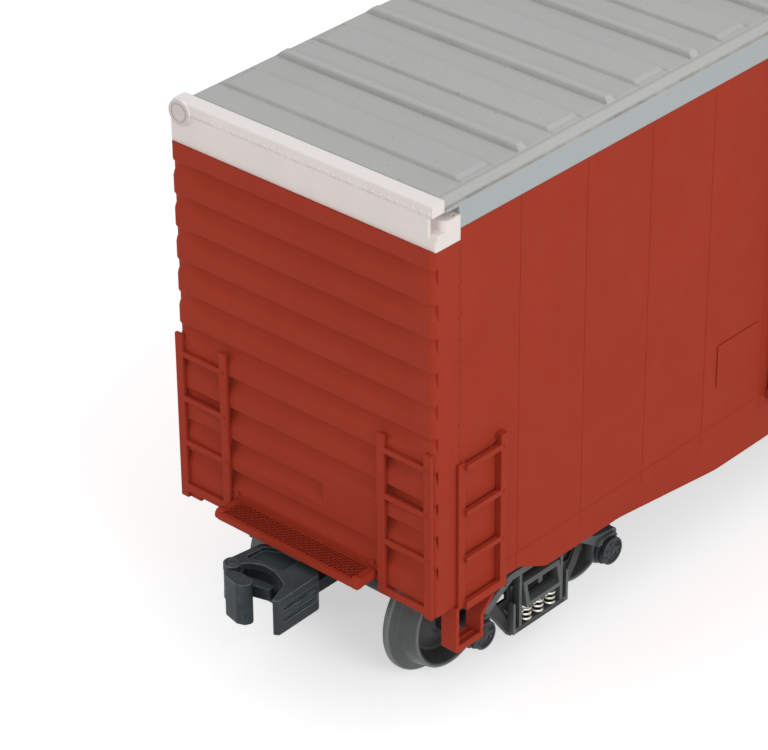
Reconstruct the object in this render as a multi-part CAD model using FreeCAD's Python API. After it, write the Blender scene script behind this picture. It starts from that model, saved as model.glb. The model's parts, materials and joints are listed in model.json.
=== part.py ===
import FreeCAD, Part
import math
import os
from FreeCAD import Vector

# O gauge high-cube boxcar, in millimetres.
# Origin: on the floor, under the middle of the car, with the wheel flanges touching the floor.
# +X runs along the car to the brake (B) end, +Y to its left side, +Z up.
# Pieces of one end are drawn at the A end, with x counted inward from the end's plane,
# and the B end is the same set turned half a turn about Z.

# ---------------------------------------------------------------- driving sizes
body_length = 220.6          # between the two end planes
body_width = 57.0            # over the side walls
wall = 1.2                   # thickness of every shell wall
fit = 0.05                   # between flat faces of pieces that seat on each other
run_gap = 0.3                # between curved or moving faces

flange_depth = 1.8           # flange beyond the tread where it meets the rail
wheel_radius = 9.5           # tread at the rail's head

roof_height = 97.0 + flange_depth       # flat of the roof and top of the end rim
sill_height = 20.9 + flange_depth       # side wall's lower edge at the ends of the car
sill_truck = 17.5 + flange_depth        # the same edge over the inner axle
sill_belly = 14.15 + flange_depth       # the same edge between the trucks
end_bottom = 23.7 + flange_depth        # end wall's lower edge between its corner posts
post_bottom = 21.4 + flange_depth       # corner post's lower edge
eave_height = roof_height - 5.7         # side wall's upper edge
cap_bottom = eave_height - 2.05         # white band's lower edge
floor_bottom = 23.0 + flange_depth
floor_thickness = 1.6

post_wrap = 5.4              # how far an end wall reaches round onto the side
corner_radius = 1.2          # of the corrugated ends
cap_corner_radius = 0.3
rib_pitch = 6.1              # corrugations of the end walls
rib_out = 0.9                # crests, out from the end's plane
valley_in = 0.35             # valleys, in from it
corner_valley = 0.5          # depth of the valleys where they run round the corners
corner_wrap = 86             # degrees that they run round
valley_height = 4.2          # from one rib's lower edge to the next one's upper edge
first_valley = 30.4 + flange_depth
plate_width = 12.0           # blank plate over the second valley
plate_height = 6.4
plate_middle = -10.2

door_width = 44.0
door_bottom = 24.6 + flange_depth
door_top = eave_height - 3.7
door_thickness = 1.3
door_lap = 2.0               # door past each edge of its opening
door_travel = 41.0
track_depth = 2.5            # how far the door tracks stand off the side wall
track_height = 1.6
track_lip = 0.45

roof_pitch = 21.8            # from one seam rib to the next
seam_count = 9
seam_width = 2.6
seam_rise = 0.9
panel_length = 7.7           # raised panels, along the car
panel_rise = 0.5
curb_inset = 2.4             # roof flat's edge, in from the side
fascia_rise = 4.1            # eave to groove
fascia_inset = 0.45
rim_depth = 2.5              # end rim, from the end's plane to the roof
knob_radius = 2.25
ear_height = 2.4             # of the corner ear over the eave
ear_headroom = 1.2           # between its top and the roof's notch
ear_width = 3.0
ear_setback = 1.7            # from the end's plane
end_ladder_depth = 0.6
side_ladder_depth = 1.25
side_ladder_thin = 0.55      # depth of its stile over the corner post
ladder_start = post_wrap - 0.9   # side ladder's near edge, from the end's plane
tray_depth = 0.8             # of the crossover step's tray
board_thickness = 0.15

sill_half = 5.0              # half width of the centre sill
bearer_x = (-48, -16, 16, 48)

truck_inset = 30.85          # end plane to the truck's pivot
wheelbase = 33.6
axle_radius = 1.6
journal_radius = 1.3
journal_clearance = 0.25
wheel_inner = 13.6           # middle of the axle to the wheel's back face
wheel_outer = 19.3           # middle of the axle to the rim's outer face
rim_radius = 8.95
frame_inner = 22.3
frame_web = 23.0             # outer face of a side frame's plain web
frame_arm = 23.4             # outer face of its arms
frame_outer = 24.8
cap_outer = 26.9
cap_radius = 2.6
cap_disc = 2.9               # rear disc of an axle's bearing
swivel_gap = 1.1             # between a wheel's flange and the bolster
bolster_low = 8.3 + flange_depth
bolster_high = 13.0 + flange_depth
bolster_end_half = 4.7       # bolster's end, along the car
bolster_lean = 0.8           # how far its lower lip stands out past its upper one
frame_bottom = 3.5 + flange_depth
arm_bottom = 2.3 + flange_depth
spring_seat = 4.4 + flange_depth
spring_pitch = 3.15
spring_radius = 1.3
spring_y = 23.7
pin_radius = 1.5
pin_clearance = 0.08

coupler_reach = 15.9         # end plane to the knuckle's front
coupler_top = 22.6 + flange_depth
coupler_bottom = 15.8 + flange_depth
knuckle_bottom = 14.5 + flange_depth
tongue_bottom = 15.7 + flange_depth
tongue_thickness = 2.2
ear_radius = 1.55            # of the lug over the knuckle's pin
hub_radius = 1.5
hub_low = coupler_bottom + 1.5
hub_high = coupler_top - 1.5
knuckle_pin_radius = 0.8

half_length = body_length / 2
half_width = body_width / 2
axle_height = wheel_radius + flange_depth
truck_x = half_length - truck_inset
flange_radius = wheel_radius + flange_depth
tongue_top = tongue_bottom + tongue_thickness
boss_bottom = tongue_top + run_gap


# ---------------------------------------------------------------- shape helpers
def box(x0, x1, y0, y1, z0, z1):
    return Part.makeBox(x1 - x0, y1 - y0, z1 - z0, Vector(x0, y0, z0))


def rod(radius, start, end):
    start, end = Vector(*start), Vector(*end)
    return Part.makeCylinder(radius, (end - start).Length, start, end - start)


def outline(points):
    """Closed wire through (u, v) or (u, v, radius) points; a radius rounds that corner."""
    trimmed = []
    count = len(points)
    for i, point in enumerate(points):
        here = Vector(point[0], point[1], 0)
        radius = point[2] if len(point) > 2 else 0
        if not radius:
            trimmed.append((here, here, here))
            continue
        before = Vector(*points[i - 1][:2], 0) - here
        after = Vector(*points[(i + 1) % count][:2], 0) - here
        before.normalize()
        after.normalize()
        half_angle = before.getAngle(after) / 2
        reach = radius / math.tan(half_angle)
        middle = before + after
        middle.normalize()
        centre = here + middle * (radius / math.sin(half_angle))
        trimmed.append((here + before * reach, centre - middle * radius, here + after * reach))
    edges = []
    for i, (start, middle, end) in enumerate(trimmed):
        if (end - start).Length > 1e-6:
            edges.append(Part.Arc(start, middle, end).toShape())
        following = trimmed[(i + 1) % count][0]
        if (following - end).Length > 1e-6:
            edges.append(Part.LineSegment(end, following).toShape())
    return Part.Wire(edges)


def slab(points, plane, low, high):
    """Extrude an outline. plane 'xy' rises along Z, 'xz' runs along Y, 'yz' runs along X."""
    face = Part.Face(outline(points))
    if plane == "xy":
        face.translate(Vector(0, 0, low))
        return face.extrude(Vector(0, 0, high - low))
    if plane == "xz":
        face.rotate(Vector(), Vector(1, 0, 0), 90)
        face.translate(Vector(0, low, 0))
        return face.extrude(Vector(0, high - low, 0))
    face.rotate(Vector(), Vector(1, 1, 1), 120)
    face.translate(Vector(low, 0, 0))
    return face.extrude(Vector(high - low, 0, 0))


def revolve_y(points):
    """Turn an outline of (y, radius) points about the Y axis."""
    face = Part.Face(outline(points))
    face.rotate(Vector(), Vector(1, 1, 1), 120)
    return face.revolve(Vector(), Vector(0, 1, 0), 360)


def fuse(shapes):
    result = shapes[0].multiFuse(shapes[1:]) if len(shapes) > 1 else shapes[0]
    return result.removeSplitter()


def cut(shape, tools):
    return shape.cut(tools).removeSplitter()


def moved(shape, x=0, y=0, z=0):
    copy = shape.copy()
    copy.translate(Vector(x, y, z))
    return copy


def mirrored(shape):
    """The same piece on the other side of the car's middle plane."""
    return shape.mirror(Vector(), Vector(0, 1, 0))


def turned(shape):
    """The same piece half a turn about Z, at the other end and side."""
    copy = shape.copy()
    copy.rotate(Vector(), Vector(0, 0, 1), 180)
    return copy


def at_end(shape):
    """From the end's own x, counted inward, to the A end of the car."""
    return moved(shape, x=-half_length)


def both_sides(shape):
    return [shape, mirrored(shape)]


# ---------------------------------------------------------------- body shell
def end_plan(front, corner):
    """Outline from above of what wraps round an end, its face at x = front."""
    return [(post_wrap, -half_width), (front, -half_width, corner),
            (front, half_width, corner), (post_wrap, half_width),
            (post_wrap, half_width - wall), (wall, half_width - wall),
            (wall, wall - half_width), (post_wrap, wall - half_width)]


def valley_section(crease, depth, height):
    """Section of one valley as (x, z): it goes in under the rib above, then curves down and out."""
    face = -rib_out
    top = crease + 0.9
    foot = top - height
    return [(face - 1, top), (face, top), (face + depth, crease),
            (face + 0.78 * depth, crease - 0.3 * height, 0.8),
            (face + 0.25 * depth, foot + 0.2 * height, 0.8), (face, foot), (face - 1, foot)]


def valley(crease):
    """Tools that cut one valley: deep between the ladders, shallow and round the corner at each side."""
    deep = valley_section(crease, rib_out + valley_in, valley_height)
    shallow = valley_section(crease, corner_valley, 0.75 * valley_height)
    deep_half = half_width - 7
    shallow_half = half_width - 2.5
    corner = half_width - corner_radius
    tools = [slab(deep, "xz", -deep_half, deep_half)]
    for side in (-1, 1):
        wires = [outline(deep), outline(shallow)]
        for wire, y in zip(wires, (deep_half, shallow_half)):
            wire.rotate(Vector(), Vector(1, 0, 0), 90)
            wire.translate(Vector(0, side * y, 0))
        tools.append(Part.makeLoft(wires, True, True))
        low, high = sorted((side * shallow_half, side * corner))
        tools.append(slab(shallow, "xz", low, high))
        bend = Part.Face(outline(shallow))
        bend.rotate(Vector(), Vector(1, 0, 0), 90)
        bend.translate(Vector(0, side * corner, 0))
        axis = Vector(corner_radius - rib_out, side * corner, 0)
        tools.append(bend.revolve(axis, Vector(0, 0, 1), -side * corner_wrap))
    return tools


def end_wall():
    """Corrugated end with its corner posts, which wrap onto the sides."""
    panel = slab(end_plan(-rib_out, corner_radius), "xy", post_bottom, cap_bottom - fit)
    skirt = box(-2, 2 * wall, 4 - half_width, half_width - 4, post_bottom - 1, end_bottom)
    tools = [skirt]
    valley_count = int((cap_bottom - first_valley) / rib_pitch) + 1
    for i in range(valley_count):
        tools += valley(first_valley + i * rib_pitch)
    middle = first_valley + rib_pitch - 1.2
    plate = box(-rib_out, wall, plate_middle - plate_width / 2, plate_middle + plate_width / 2,
                middle - plate_height / 2, middle + plate_height / 2)
    return fuse([cut(panel, tools), plate])


def corner_ear():
    """Block on the band's corner behind the rim, flush along the side, with a pin hole in its top."""
    top = eave_height + ear_height
    plan = [(ear_setback, -half_width, 1.4), (post_wrap, -half_width),
            (post_wrap, ear_width - half_width), (ear_setback, ear_width - half_width)]
    hole_x = post_wrap - 1.1
    hole_y = 0.8 - half_width
    return cut(slab(plan, "xy", eave_height - 0.1, top),
               [rod(0.35, (hole_x, hole_y, top - 0.8), (hole_x, hole_y, top + 1))])


def end_cap():
    """Light band round the top of an end, with its rim, a round knob and a corner ear in a pocket."""
    face_x = -0.35
    skin = 0.4
    rim_x = face_x - 0.06
    rim_low = roof_height - 2.1
    ear_side = ear_width - half_width
    band = slab(end_plan(face_x, cap_corner_radius), "xy", cap_bottom, eave_height)
    ledge = box(wall - 0.2, rim_depth - 0.2, 0.2 - half_width, ear_side + 0.3, eave_height - 0.6, eave_height)
    upper = slab([(rim_depth, 1.4 - half_width), (face_x, 1.4 - half_width, cap_corner_radius),
                  (face_x, half_width, cap_corner_radius), (rim_depth, half_width)],
                 "xy", eave_height, roof_height - wall)
    hollow = box(wall, rim_depth + 1, ear_side + wall, half_width - 1 - wall,
                 eave_height - 1, roof_height - wall)
    pocket = box(face_x + skin, rim_depth + 1, -half_width - 1, ear_side, eave_height, rim_low)
    rim = slab([(rim_x, rim_low), (rim_x, roof_height - 0.25, 0.15), (rim_x + 0.3, roof_height, 0.1),
                (rim_depth, roof_height), (rim_depth, rim_low), (face_x + 0.6, rim_low)],
               "xz", 0.7 - half_width, half_width - 0.7)
    knob_z = roof_height - 1.85
    knob_y = half_width - 2.55
    front = face_x - 0.6
    knob = cut(rod(knob_radius, (front, knob_y, knob_z), (rim_depth, knob_y, knob_z)),
               [box(face_x + 0.3, rim_depth + 1, knob_y - 3, knob_y + 3, roof_height, roof_height + 3)])
    ring = cut(rod(knob_radius - 0.5, (front - 1, knob_y, knob_z), (front + 0.15, knob_y, knob_z)),
               [rod(knob_radius - 0.8, (front - 1, knob_y, knob_z), (face_x, knob_y, knob_z))])
    cap = fuse([band, ledge, cut(upper, [hollow, pocket]), rim, knob, corner_ear()])
    return cut(cap, [ring])


def sill_outline():
    """Side wall seen from the side, with its lower edge stepped down over the truck and belly."""
    start = post_wrap + fit - half_length
    end_x = [20.5 - half_length, 27.5 - half_length, 47.0 - half_length, 74.0 - half_length]
    left = [(start, eave_height - fit), (start, sill_height), (end_x[0], sill_height, 5),
            (end_x[1], sill_truck, 5), (end_x[2], sill_truck, 20), (end_x[3], sill_belly, 20)]
    right = [(-p[0],) + p[1:] for p in reversed(left)]
    return left + right


def side_wall():
    """Right side wall with its door opening."""
    sheet = slab(sill_outline(), "xz", -half_width, wall - half_width)
    half_open = door_width / 2 - door_lap
    opening = box(-half_open, half_open, -half_width - 1, wall + 1 - half_width,
                  door_bottom + door_lap, door_top - door_lap)
    return cut(sheet, [opening])


def roof_section(offset):
    """Half of the roof's outline, taken in by offset from its outer face."""
    edge = half_width - offset
    top = roof_height - offset
    return [(edge, eave_height), (edge - fascia_inset, eave_height + fascia_rise),
            (edge - curb_inset, top, 1.5)]


def roof():
    outer = roof_section(0)
    inner = roof_section(wall)
    section = ([(-p[0],) + p[1:] for p in outer] + outer[::-1]
               + inner + [(-p[0],) + p[1:] for p in inner[::-1]])
    start = rim_depth + fit
    shell = slab(section, "yz", start - half_length, half_length - start)
    flat = half_width - curb_inset - 0.4
    raised = []
    first_seam = -(seam_count - 1) / 2 * roof_pitch
    for i in range(seam_count):
        x = first_seam + i * roof_pitch
        raised.append(roof_bar(x, seam_width, seam_rise, flat + 0.4))
    for i in range(seam_count + 1):
        x = first_seam + (i - 0.5) * roof_pitch
        raised.append(roof_bar(x, panel_length, panel_rise, flat - 0.4))
    notch_end = post_wrap + fit - half_length
    notch_side = ear_width - half_width + fit
    lining = box(start - half_length, notch_end + wall, 0.96 * wall - half_width, notch_side + wall,
                 eave_height + fit, roof_height - 0.9 * wall)
    notch = box(-half_length - 1, notch_end, -half_width - 1, notch_side,
                eave_height - 1, eave_height + ear_height + ear_headroom)
    return cut(fuse([shell, lining, turned(lining)] + raised), [notch, turned(notch)])


def roof_bar(x, width, rise, reach):
    """Raised bar across the roof with sloping flanks and ends."""
    low = roof_height - 0.2
    high = roof_height + rise
    section = [(x - width / 2, low), (x - width / 2 + 0.5, high, 0.3),
               (x + width / 2 - 0.5, high, 0.3), (x + width / 2, low)]
    bar = slab(section, "xz", -reach, reach)
    bevels = []
    for side in (-1, 1):
        bevel = [(side * (reach + 1), high + 1), (side * (reach - 1), high + 1), (side * (reach - 1), high),
                 (side * (reach + 0.2), low - 0.1), (side * (reach + 1), low - 0.1)]
        bevels.append(slab(bevel, "yz", x - width, x + width))
    return cut(bar, bevels)


def floor():
    """Floor plate between the walls, bored for the two pivot pins."""
    inside = half_width - wall - fit
    end_x = half_length - wall - fit
    plate = box(-end_x, end_x, -inside, inside, floor_bottom, floor_bottom + floor_thickness)
    return cut(plate, [rod(pin_radius, (x, 0, floor_bottom - 1), (x, 0, floor_bottom + floor_thickness + 1))
                       for x in (-truck_x, truck_x)])


def center_sill():
    sill_end = truck_x - wheelbase / 2 - flange_radius - 2
    return box(-sill_end, sill_end, -sill_half, sill_half, sill_belly + 2, floor_bottom - fit)


def cross_bearers():
    """Bearers from the centre sill out to each side wall, tapered towards the side."""
    bearers = []
    for x in bearer_x:
        for side in (-1, 1):
            near = side * (sill_half + fit)
            far = side * (half_width - wall - fit)
            section = [(near, floor_bottom - fit), (far, floor_bottom - fit),
                       (far, floor_bottom - 2.2), (near, sill_truck)]
            bearers.append(slab(section, "yz", x - 1, x + 1))
    return bearers


def body_bolsters():
    """Round bosses under the floor that the trucks turn on."""
    bosses = []
    for x in (-truck_x, truck_x):
        boss = rod(4.5, (x, 0, boss_bottom), (x, 0, floor_bottom - fit))
        bosses.append(cut(boss, [rod(pin_radius, (x, 0, boss_bottom - 1), (x, 0, floor_bottom + 1))]))
    return bosses


def pivot_pin():
    """Shouldered pivot screw from under the truck's bolster up into the body's boss."""
    head = rod(3.2, (-truck_x, 0, bolster_low - 1.3), (-truck_x, 0, bolster_low - run_gap))
    shank = rod(pin_radius, (-truck_x, 0, bolster_low - 0.5), (-truck_x, 0, floor_bottom + 0.8))
    return fuse([head, shank])


# ---------------------------------------------------------------- doors
def door():
    """Sliding door: a pressed leaf with a frame round it and raised ribs across it."""
    low_y = -half_width - run_gap - door_thickness
    high_y = -half_width - run_gap
    low_z = door_bottom + run_gap
    high_z = door_top - run_gap
    leaf = box(-door_width / 2, door_width / 2, low_y + 0.5, high_y, low_z, high_z)
    edge = 1.6
    frame = cut(box(-door_width / 2, door_width / 2, low_y, high_y, low_z, high_z),
                [box(edge - door_width / 2, door_width / 2 - edge, low_y - 1, high_y + 1,
                     low_z + edge, high_z - edge)])
    ribs = []
    rib_step = (high_z - low_z - 2 * edge) / 11
    for i in range(1, 11):
        z = low_z + edge + i * rib_step
        ribs.append(box(-door_width / 2 + 3, door_width / 2 - 3, low_y + 0.1, high_y, z - 1.2, z + 1.2))
    return fuse([leaf, frame] + ribs)


def door_tracks():
    """Upper and lower track that the door slides in, past the opening on one side."""
    start = -door_width / 2 - 0.5
    end = door_width / 2 + door_travel + 1.5
    back = -half_width - fit
    out = -half_width - track_depth
    lip = track_lip
    lower = slab([(back, door_bottom - track_height), (back, door_bottom), (out + lip, door_bottom),
                  (out + lip, door_bottom + 1.0), (out, door_bottom + 1.0),
                  (out, door_bottom - track_height)], "yz", start, end)
    upper = slab([(back, door_top + track_height), (back, door_top), (out + lip, door_top),
                  (out + lip, door_top - 1.0), (out, door_top - 1.0),
                  (out, door_top + track_height)], "yz", start, end)
    return [lower, upper]


# ---------------------------------------------------------------- end and side fittings
def platform():
    """Crossover step on an end: a shallow tray for its grating, rounded at the front, on two brackets."""
    back = -rib_out - fit
    front = -6.1
    low = 24.4 + flange_depth
    top = 25.7 + flange_depth
    plate = slab([(back, -16), (front, -16, 1.4), (front, 16, 1.4), (back, 16)], "xy", low, top)
    tray = box(front + 0.8, back - 0.3, -14.6, 14.6, top - tray_depth, top + 1)
    side_view = [(back, top - 0.2), (front + 0.6, top - 0.2), (front + 0.6, low - 0.6),
                 (front + 1.8, low - 0.6), (back, low - 0.5)]
    brackets = [slab(side_view, "xz", side * 15.2 - 0.6, side * 15.2 + 0.6) for side in (-1, 1)]
    return fuse([cut(plate, [tray])] + brackets)


def ladder(width, stiles, bars, depth):
    """Ladder in the YZ plane, its back at x = 0 and its left stile at y = 0.
    stiles are the (low, top, depth) of the left and right one; bars are (middle, height)."""
    stile = 1.6
    pieces = [box(-stile_depth, 0, y, y + stile, low, top)
              for y, (low, top, stile_depth) in zip((0, width - stile), stiles)]
    bar_back = min(0.9, depth)
    for middle, height in bars:
        pieces.append(box(-depth, bar_back - depth, stile - 0.3, width - stile + 0.3,
                          middle - height / 2, middle + height / 2))
    return fuse(pieces)


def end_ladders():
    """The two ladders of one end, their outer stiles reaching lower."""
    outer_low = 21.5 + flange_depth
    shapes = []
    for inner_low, top, foot, foot_height in ((22.0, 52.9, 22.8, 1.4), (22.7, 53.7, 23.5, 1.6)):
        stiles = [(outer_low, top + flange_depth, end_ladder_depth),
                  (inner_low + flange_depth, top + flange_depth, end_ladder_depth)]
        bars = [(foot + flange_depth, foot_height)] + [(z + flange_depth, 1.0) for z in (32.6, 41.3, 50.0)]
        shapes.append(moved(ladder(11.7, stiles, bars, end_ladder_depth), x=-rib_out - fit, y=-half_width))
    return [shapes[0], mirrored(shapes[1])]


def side_ladder():
    """Ladder on the right side, its thinner stile over the edge of the end's corner post."""
    width = 11.2
    stiles = [(20.5 + flange_depth, 50.2 + flange_depth, side_ladder_depth),
              (20.7 + flange_depth, 48.6 + flange_depth, side_ladder_thin)]
    bars = [(21.2 + flange_depth, 1.5)] + [(z + flange_depth, 1.0) for z in (30.2, 39.2, 47.9)]
    one = ladder(width, stiles, bars, side_ladder_depth)
    one.rotate(Vector(), Vector(0, 0, 1), 90)
    return moved(one, x=ladder_start + width, y=-half_width - fit)


def corner_step():
    """Stirrup under the side ladder, one bent strap with a tread."""
    low = 12.5 + flange_depth
    knee = 17.0 + flange_depth
    top = 19.7 + flange_depth - fit
    leg_top = post_bottom - fit
    leg = ladder_start - fit
    shape = [(leg - 0.8, leg_top), (leg - 0.8, low, 0.5), (10.6, low, 0.5), (10.6, knee),
             (13.4, top), (12.5, top), (9.8, knee + 0.2), (9.8, low + 0.9),
             (leg, low + 0.9), (leg, leg_top)]
    return slab(shape, "xz", -29.3, -26.1)


def route_board():
    """Thin board on the right side wall beside the door."""
    length = 11.5
    x = -door_width / 2 - 3.8 - length
    z = 31.7 + flange_depth
    return box(x, x + length, -half_width - fit - board_thickness, -half_width - fit, z, z + 8.3)


# ---------------------------------------------------------------- brake gear, B end and underside
def brake_housing():
    """Hand-brake housing on the B end, with the chain rod below it, drawn at the A end."""
    back = -rib_out - fit
    y = -9.0
    z = 56.0 + flange_depth
    case = slab([(y - 2.6, z - 3.2, 0.8), (y + 2.6, z - 3.2, 0.8), (y + 2.6, z + 3.0, 1.6),
                 (y - 2.6, z + 3.0, 1.6)], "yz", back - 2.6, back)
    shaft = rod(0.6, (back - 2.5, y, z), (back - 4.2, y, z))
    chain = rod(0.45, (back - 1.3, y, 26.0 + flange_depth), (back - 1.3, y, z - 3.0))
    return fuse([case, shaft, chain])


def brake_wheel():
    """Spoked hand-brake wheel in front of the housing."""
    back = -rib_out - fit
    y = -9.0
    z = 56.0 + flange_depth
    x = back - 3.6
    rim = Part.makeTorus(4.3, 0.5, Vector(x, y, z), Vector(1, 0, 0))
    hub = cut(rod(1.2, (x - 0.6, y, z), (x + 0.6, y, z)), [rod(0.6, (x - 1, y, z), (x + 1, y, z))])
    spokes = []
    for i in range(5):
        angle = math.radians(90 + 72 * i)
        direction = (math.cos(angle), math.sin(angle))
        spokes.append(rod(0.35, (x, y + direction[0], z + direction[1]),
                          (x, y + 4.1 * direction[0], z + 4.1 * direction[1])))
    return fuse([rim, hub] + spokes)


def brake_equipment():
    """Cylinder and reservoir under the floor."""
    cylinder = rod(3.2, (22, 14, floor_bottom - 4.0), (36, 14, floor_bottom - 4.0))
    reservoir = rod(3.4, (-42, -14, floor_bottom - 4.2), (-22, -14, floor_bottom - 4.2))
    saddles = [box(x - 1, x + 1, y - 2.4, y + 2.4, floor_bottom - 3.0, floor_bottom - fit)
               for x, y in ((25, 14), (33, 14), (-39, -14), (-25, -14))]
    return [fuse([cylinder] + saddles[:2]), fuse([reservoir] + saddles[2:])]


# ---------------------------------------------------------------- trucks
# Truck pieces are drawn about the truck's own pivot, with x = 0 there.
def at_truck(shape):
    return moved(shape, x=-truck_x)


def bolster():
    """Beam across the truck with a round pad in the middle and an open box at each end."""
    beam_half = min(bolster_end_half, wheelbase / 2 - flange_radius - swivel_gap)
    beam_end = frame_inner - run_gap
    beam = box(-beam_half, beam_half, -beam_end, beam_end, bolster_low, bolster_high)
    pad = rod(5.5, (0, 0, bolster_high - 0.5), (0, 0, tongue_bottom - fit))
    beam = cut(fuse([beam, pad]), [rod(pin_radius + pin_clearance, (0, 0, 0), (0, 0, roof_height))])
    inner = frame_inner - run_gap - 0.1
    skin = 0.8
    lip = -frame_outer - bolster_lean
    end = [(-inner, bolster_low), (lip, bolster_low), (lip, bolster_low + skin),
           (-frame_outer, bolster_high), (-inner, bolster_high)]
    end = slab(end, "yz", -bolster_end_half, bolster_end_half)
    pocket = box(skin - bolster_end_half, bolster_end_half - skin, -frame_outer - 2, -inner - 0.8,
                 bolster_low + skin, bolster_high - skin)
    web = box(-0.5, 0.5, -frame_outer + 0.2, -inner - 0.4, bolster_low + 2.4, bolster_high - 0.4)
    end = fuse([cut(end, [pocket]), web])
    return fuse([beam, end, mirrored(end)])


def frame_arm_outline(column):
    """Arm from the spring seat up to the axle box, as (x, z) on the positive side."""
    z0 = flange_depth
    return [(4.3, arm_bottom), (6.4, arm_bottom), (7.7, z0 + 3.9), (9.3, z0 + 6.2), (10.6, z0 + 7.9),
            (11.9, z0 + 9.9), (12.9, z0 + 12.0), (12.9, z0 + 13.2), (11.3, z0 + 13.2), (10.4, z0 + 11.1),
            (9.3, z0 + 9.3), (8.3, z0 + 7.9), (column + 0.3, z0 + 5.9), (5.6, z0 + 4.1)]


def side_frame():
    """Side frame of the right side: a thin web with arms, and columns, spring seat, chord and axle boxes."""
    base = wheelbase / 2
    z0 = flange_depth
    top = z0 + 16.4
    chord_low = top - 1.3
    half = bolster_end_half + run_gap
    column = half + 1.9
    box_low, box_high = z0 + 6.9, z0 + 12.1
    box_in = base - 2.9
    box_out = base + 3.4
    solids = []
    for side in (-1, 1):
        web = [(0, arm_bottom), (6.5, arm_bottom), (7.6, z0 + 3.9), (9.2, z0 + 6.2), (10.5, z0 + 7.9),
               (11.8, z0 + 9.9), (12.8, z0 + 12.0), (12.8, z0 + 13.2), (8.0, chord_low), (0, chord_low)]
        arm = frame_arm_outline(column)
        rib = [(2.8, arm_bottom), (3.3, arm_bottom), (8.2, z0 + 8.3), (7.8, z0 + 8.6)]
        chord = [(0, chord_low), (7.6, chord_low), (11.4, z0 + 12.9), (box_in, box_high - 0.9),
                 (base + 1.0, box_high - 0.9), (base + 1.0, z0 + 12.3), (base - 2.4, z0 + 12.8, 2),
                 (column + 1.4, top, 1.5), (0, top)]
        axle_box = [(box_in, box_low + 0.8), (box_in, z0 + 12.4), (box_out, box_high, 0.8),
                    (box_out, box_low + 1.3), (box_out - 1.6, box_low), (box_in + 1.2, box_low)]
        for points, outer in ((web, frame_web), (arm, frame_arm), (rib, frame_arm), (chord, frame_outer),
                              (axle_box, frame_outer)):
            solids.append(slab([(side * p[0],) + p[1:] for p in points], "xz", -outer, -frame_inner))
        for near, far, low, high in ((half + 0.1, half + 0.7, frame_bottom, chord_low + 0.1),
                                     (column - 0.2, column + 0.3, frame_bottom, z0 + 9.7)):
            x0, x1 = sorted((side * near, side * far))
            solids.append(box(x0, x1, -frame_outer, -frame_inner, low, high))
    solids.append(box(-column - 0.3, column + 0.3, -frame_outer, -frame_inner, frame_bottom, spring_seat))
    frame = fuse(solids)
    opening = [(-half, spring_seat), (half, spring_seat), (half, chord_low, 0.8), (-half, chord_low, 0.8)]
    window = slab(opening, "xz", -frame_outer - 1, -frame_inner + 1)
    tools = [window]
    for side in (-1, 1):
        gap = [(column, z0 + 9.9), (column, chord_low - 0.3), (11.0, z0 + 13.0),
               (10.3, z0 + 11.2), (9.4, z0 + 9.9)]
        tools.append(slab([(side * p[0],) + p[1:] for p in gap], "xz", -frame_outer - 1, -frame_inner + 1))
    hole = journal_radius + journal_clearance
    tools += [rod(hole, (x, -frame_outer - 1, axle_height), (x, -frame_inner + 1, axle_height))
              for x in (-base, base)]
    adapters = [slab([(x - 2.6, axle_height + 1.6), (x + 2.6, axle_height + 1.6), (x + 2.2, box_high, 0.8),
                      (x - 2.2, box_high, 0.8)], "xz", -frame_outer - 0.9, -frame_outer + 0.2)
                for x in (-base, base)]
    return cut(fuse([frame] + adapters), tools)


def bearing_caps():
    """Round roller bearings on the right side frame's axles: a rear disc, a neck and a dished end cap."""
    neck = cap_radius - 0.3
    lip = cap_radius - 0.15
    profile = [(-frame_outer - fit, 0), (-cap_outer + 0.2, 0), (-cap_outer + 0.2, 0.9),
               (-cap_outer + 0.4, 1.1), (-cap_outer + 0.4, lip - 0.45), (-cap_outer, lip - 0.3), (-cap_outer, lip),
               (-cap_outer + 0.15, cap_radius), (-cap_outer + 0.8, cap_radius), (-cap_outer + 0.8, neck),
               (-frame_outer - 0.75, neck), (-frame_outer - 0.75, cap_disc), (-frame_outer - fit, cap_disc)]
    bar = box(0.6 - cap_radius, cap_radius - 0.6, -cap_outer + 0.1, -cap_outer + 0.5, -0.35, 0.35)
    cap = fuse([revolve_y(profile), bar])
    adapter_room = box(-3, 3, -frame_outer - 0.95, -frame_outer, 1.55, 3)
    cap = cut(cap, [adapter_room])
    return [moved(cap, x=x, z=axle_height) for x in (-wheelbase / 2, wheelbase / 2)]


def springs():
    """Three coil springs under the right end of the bolster, as plain envelopes."""
    places = [i * spring_pitch for i in (-1, 0, 1)]
    return [rod(spring_radius, (x, -spring_y, spring_seat + fit), (x, -spring_y, bolster_low - fit))
            for x in places]


def wheelset():
    """Axle with its two wheels, one turned piece."""
    tip = frame_outer - 0.4
    half = [(0, 0), (tip, 0), (tip, axle_radius - 0.3), (frame_inner - 0.6, axle_radius - 0.3),
            (frame_inner - 1.2, 2.2), (wheel_outer - 1.5, 2.6), (wheel_outer - 2.2, 3.4, 0.6),
            (wheel_outer - 3.0, rim_radius - 2.2, 0.6), (wheel_outer, rim_radius - 0.7, 0.2),
            (wheel_outer, rim_radius, 0.2), (wheel_inner + 2.0, wheel_radius + 0.12, 0.6),
            (wheel_inner + 1.2, wheel_radius + flange_depth, 0.5),
            (wheel_inner, wheel_radius + flange_depth, 0.4), (wheel_inner, rim_radius - 2.2, 0.4),
            (wheel_inner + 1.2, 3.4, 0.6), (wheel_inner - 0.6, 2.6), (wheel_inner - 0.6, axle_radius)]
    other = [(-p[0],) + p[1:] for p in reversed(half[1:])]
    shape = revolve_y(half[1:] + other)
    return moved(shape, z=axle_height)


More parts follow.
